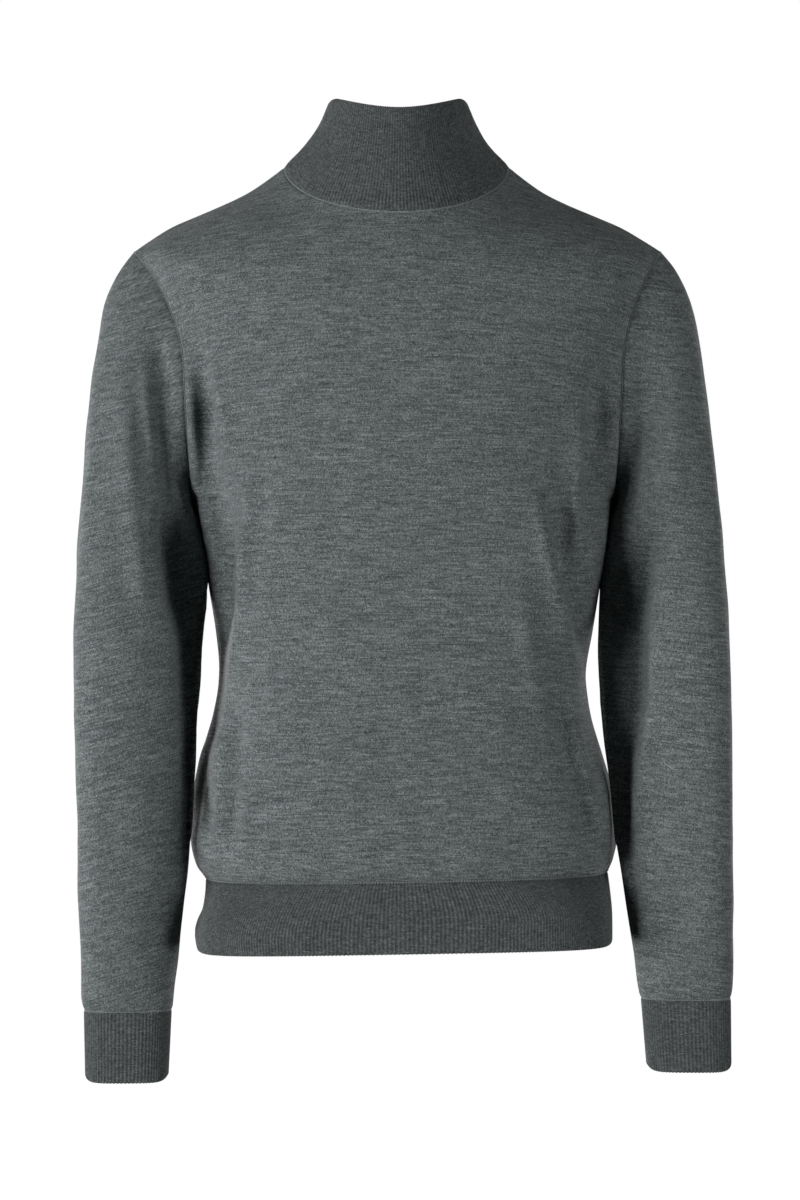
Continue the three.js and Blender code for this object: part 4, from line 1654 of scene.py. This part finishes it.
@dataclass(frozen=True)
class Softbox:
    """A soft light that faces the sweater: its place, its width and height, in metres, and its watts."""

    name: str
    place: tuple[float, float, float]
    size: tuple[float, float]
    watts: float

    def hang(self, aim: Vector) -> None:
        """Adds the light.

        Args:
            aim: The point that it faces.
        """
        data = bpy.data.lights.new(self.name, "AREA")
        data.shape = "RECTANGLE"
        data.size, data.size_y = self.size
        data.energy = self.watts
        made = put(self.name, data)
        made.location = self.place
        made.rotation_euler = (aim - made.location).to_track_quat("-Z", "Y").to_euler()


SOFTBOXES = (
    Softbox("left_light", (-3.4, -1.3, -0.8), (0.9, 1.8), 90.0),
    Softbox("left_front_light", (-2.85, -2.35, -0.9), (1.0, 2.0), 146.0),
    Softbox("right_light", (3.4, -1.3, -0.9), (0.9, 1.8), 22.0),
    Softbox("right_front_light", (2.9, -2.3, -0.8), (1.0, 2.0), 68.0),
    Softbox("left_back_light", (-2.0, 3.2, -0.6), (1.0, 2.0), 105.0),
    Softbox("right_back_light", (2.0, 3.2, -0.6), (1.0, 2.0), 80.0),
    Softbox("top_light", (0.0, -0.3, 2.4), (1.2, 1.2), 6.0),
)


@dataclass
class Studio:
    """The floor, the white air round it, the soft lights and the camera, in metres."""

    distance: float = 3.2
    view_height: float = 1.0224
    view_middle: tuple[float, float] = (0.00085, -0.3304)
    sensor: float = 36.0
    floor_z: float = -1.35
    floor_half: float = 7.0
    ambient: float = 0.015

    def camera(self) -> None:
        """Places the camera level in front of the sweater."""
        data = bpy.data.cameras.new("camera")
        data.sensor_width = self.sensor
        data.lens = self.sensor * self.distance / self.view_height
        made = put("camera", data)
        made.location = (self.view_middle[0], -self.distance, self.view_middle[1])
        made.rotation_euler = (math.pi / 2, 0, 0)
        bpy.context.scene.camera = made

    def paper(self) -> Material:
        """White studio paper, which shows white and sends little light back on the sweater.

        Returns:
            The material.
        """
        made = bpy.data.materials.new("studio_paper")
        graph = fresh(made)
        glow = graph.first("ShaderNodeEmission", {"Color": WHITE, "Strength": 1.0})
        pale = graph.first("ShaderNodeBsdfDiffuse", {"Color": (0.6, 0.6, 0.6, 1)})
        dim = graph.first("ShaderNodeBsdfDiffuse", {"Color": (0.06, 0.06, 0.06, 1)})
        shown = graph.first("ShaderNodeAddShader", {0: glow, 1: pale})
        graph.end_by_ray("ShaderNodeOutputMaterial", shown, dim)
        return made

    def floor(self) -> None:
        """Lays one wide sheet of paper as the floor."""
        half, z = self.floor_half, self.floor_z
        points = [(-half, -half, z), (half, -half, z), (half, half, z), (-half, half, z)]
        mesh = bpy.data.meshes.new("studio_floor")
        mesh.from_pydata(points, [], [(0, 1, 2, 3)])
        mesh.materials.append(self.paper())
        made = put("studio_floor", mesh)

    def air(self) -> bpy.types.World:
        """The studio's air, which shows white and sends very little light on the sweater.

        Returns:
            The world.
        """
        made = bpy.data.worlds.new("studio_air")
        graph = fresh(made)
        shown = graph.first("ShaderNodeBackground", {"Color": WHITE, "Strength": 1.0})
        sent = graph.first("ShaderNodeBackground", {"Color": WHITE, "Strength": self.ambient})
        graph.end_by_ray("ShaderNodeOutputWorld", shown, sent)
        return made

    def build(self) -> None:
        """Builds the whole studio."""
        self.camera()
        self.floor()
        for light in SOFTBOXES:
            light.hang(Vector((0, 0, self.view_middle[1])))
        bpy.context.scene.world = self.air()
        bpy.context.scene.view_settings.view_transform = "Standard"
        log.info("studio built")


def seam_chain(shop: Workshop, band: RibBand, name: str, points: int = 240, sink: float = 0.1) -> Piece:
    """Lays a chain along a closed band's seam.

    Args:
        shop: The finishes and trees.
        band: The band.
        name: The chain's name.
        points: Points on its line.
        sink: How far it lies in the ribs, in millimetres.

    Returns:
        The chain.
    """
    grid = band.lines(np.array([0.0, 0.01, 0.02]), points)
    normals = normals_of(grid, True)[0]
    return shop.chain(name, grid[0] - normals * sink, normals, True, Slot.RIB)


def main() -> None:
    """Builds the studio and every piece of the sweater in order."""
    logging.basicConfig(level=logging.INFO, format="%(name)s: %(message)s")
    Studio().build()
    shop = Workshop.open()
    body = Body()
    body.build(shop)
    Sleeve(Side.RIGHT, 0.28, (345.0, 650.0)).build(shop, body)
    Sleeve(Side.LEFT, 0.13, (345.0, 650.0)).build(shop, body)
    collar = Collar("rib_collar", "collar", (500.0, 96.0), base_band=14.0, base_rise=1.5, rise=0.5)
    collar.build(shop, [seam_chain(shop, collar, "collar_chain")])
    for face in Face:
        names = ("rib_hem_" + face.word, "hem_rib_" + face.word)
        hem = HemRib(*names, (465.0, 60.0), closed=False, face=face)
        hem.build(shop, [])
    for side in Side:
        cuff = Cuff("rib_cuff_" + side.word, "cuff_" + side.word, (205.0, 60.0), side=side)
        cuff.build(shop, [seam_chain(shop, cuff, "cuff_chain_" + side.word)])


if __name__ == "__main__":
    main()
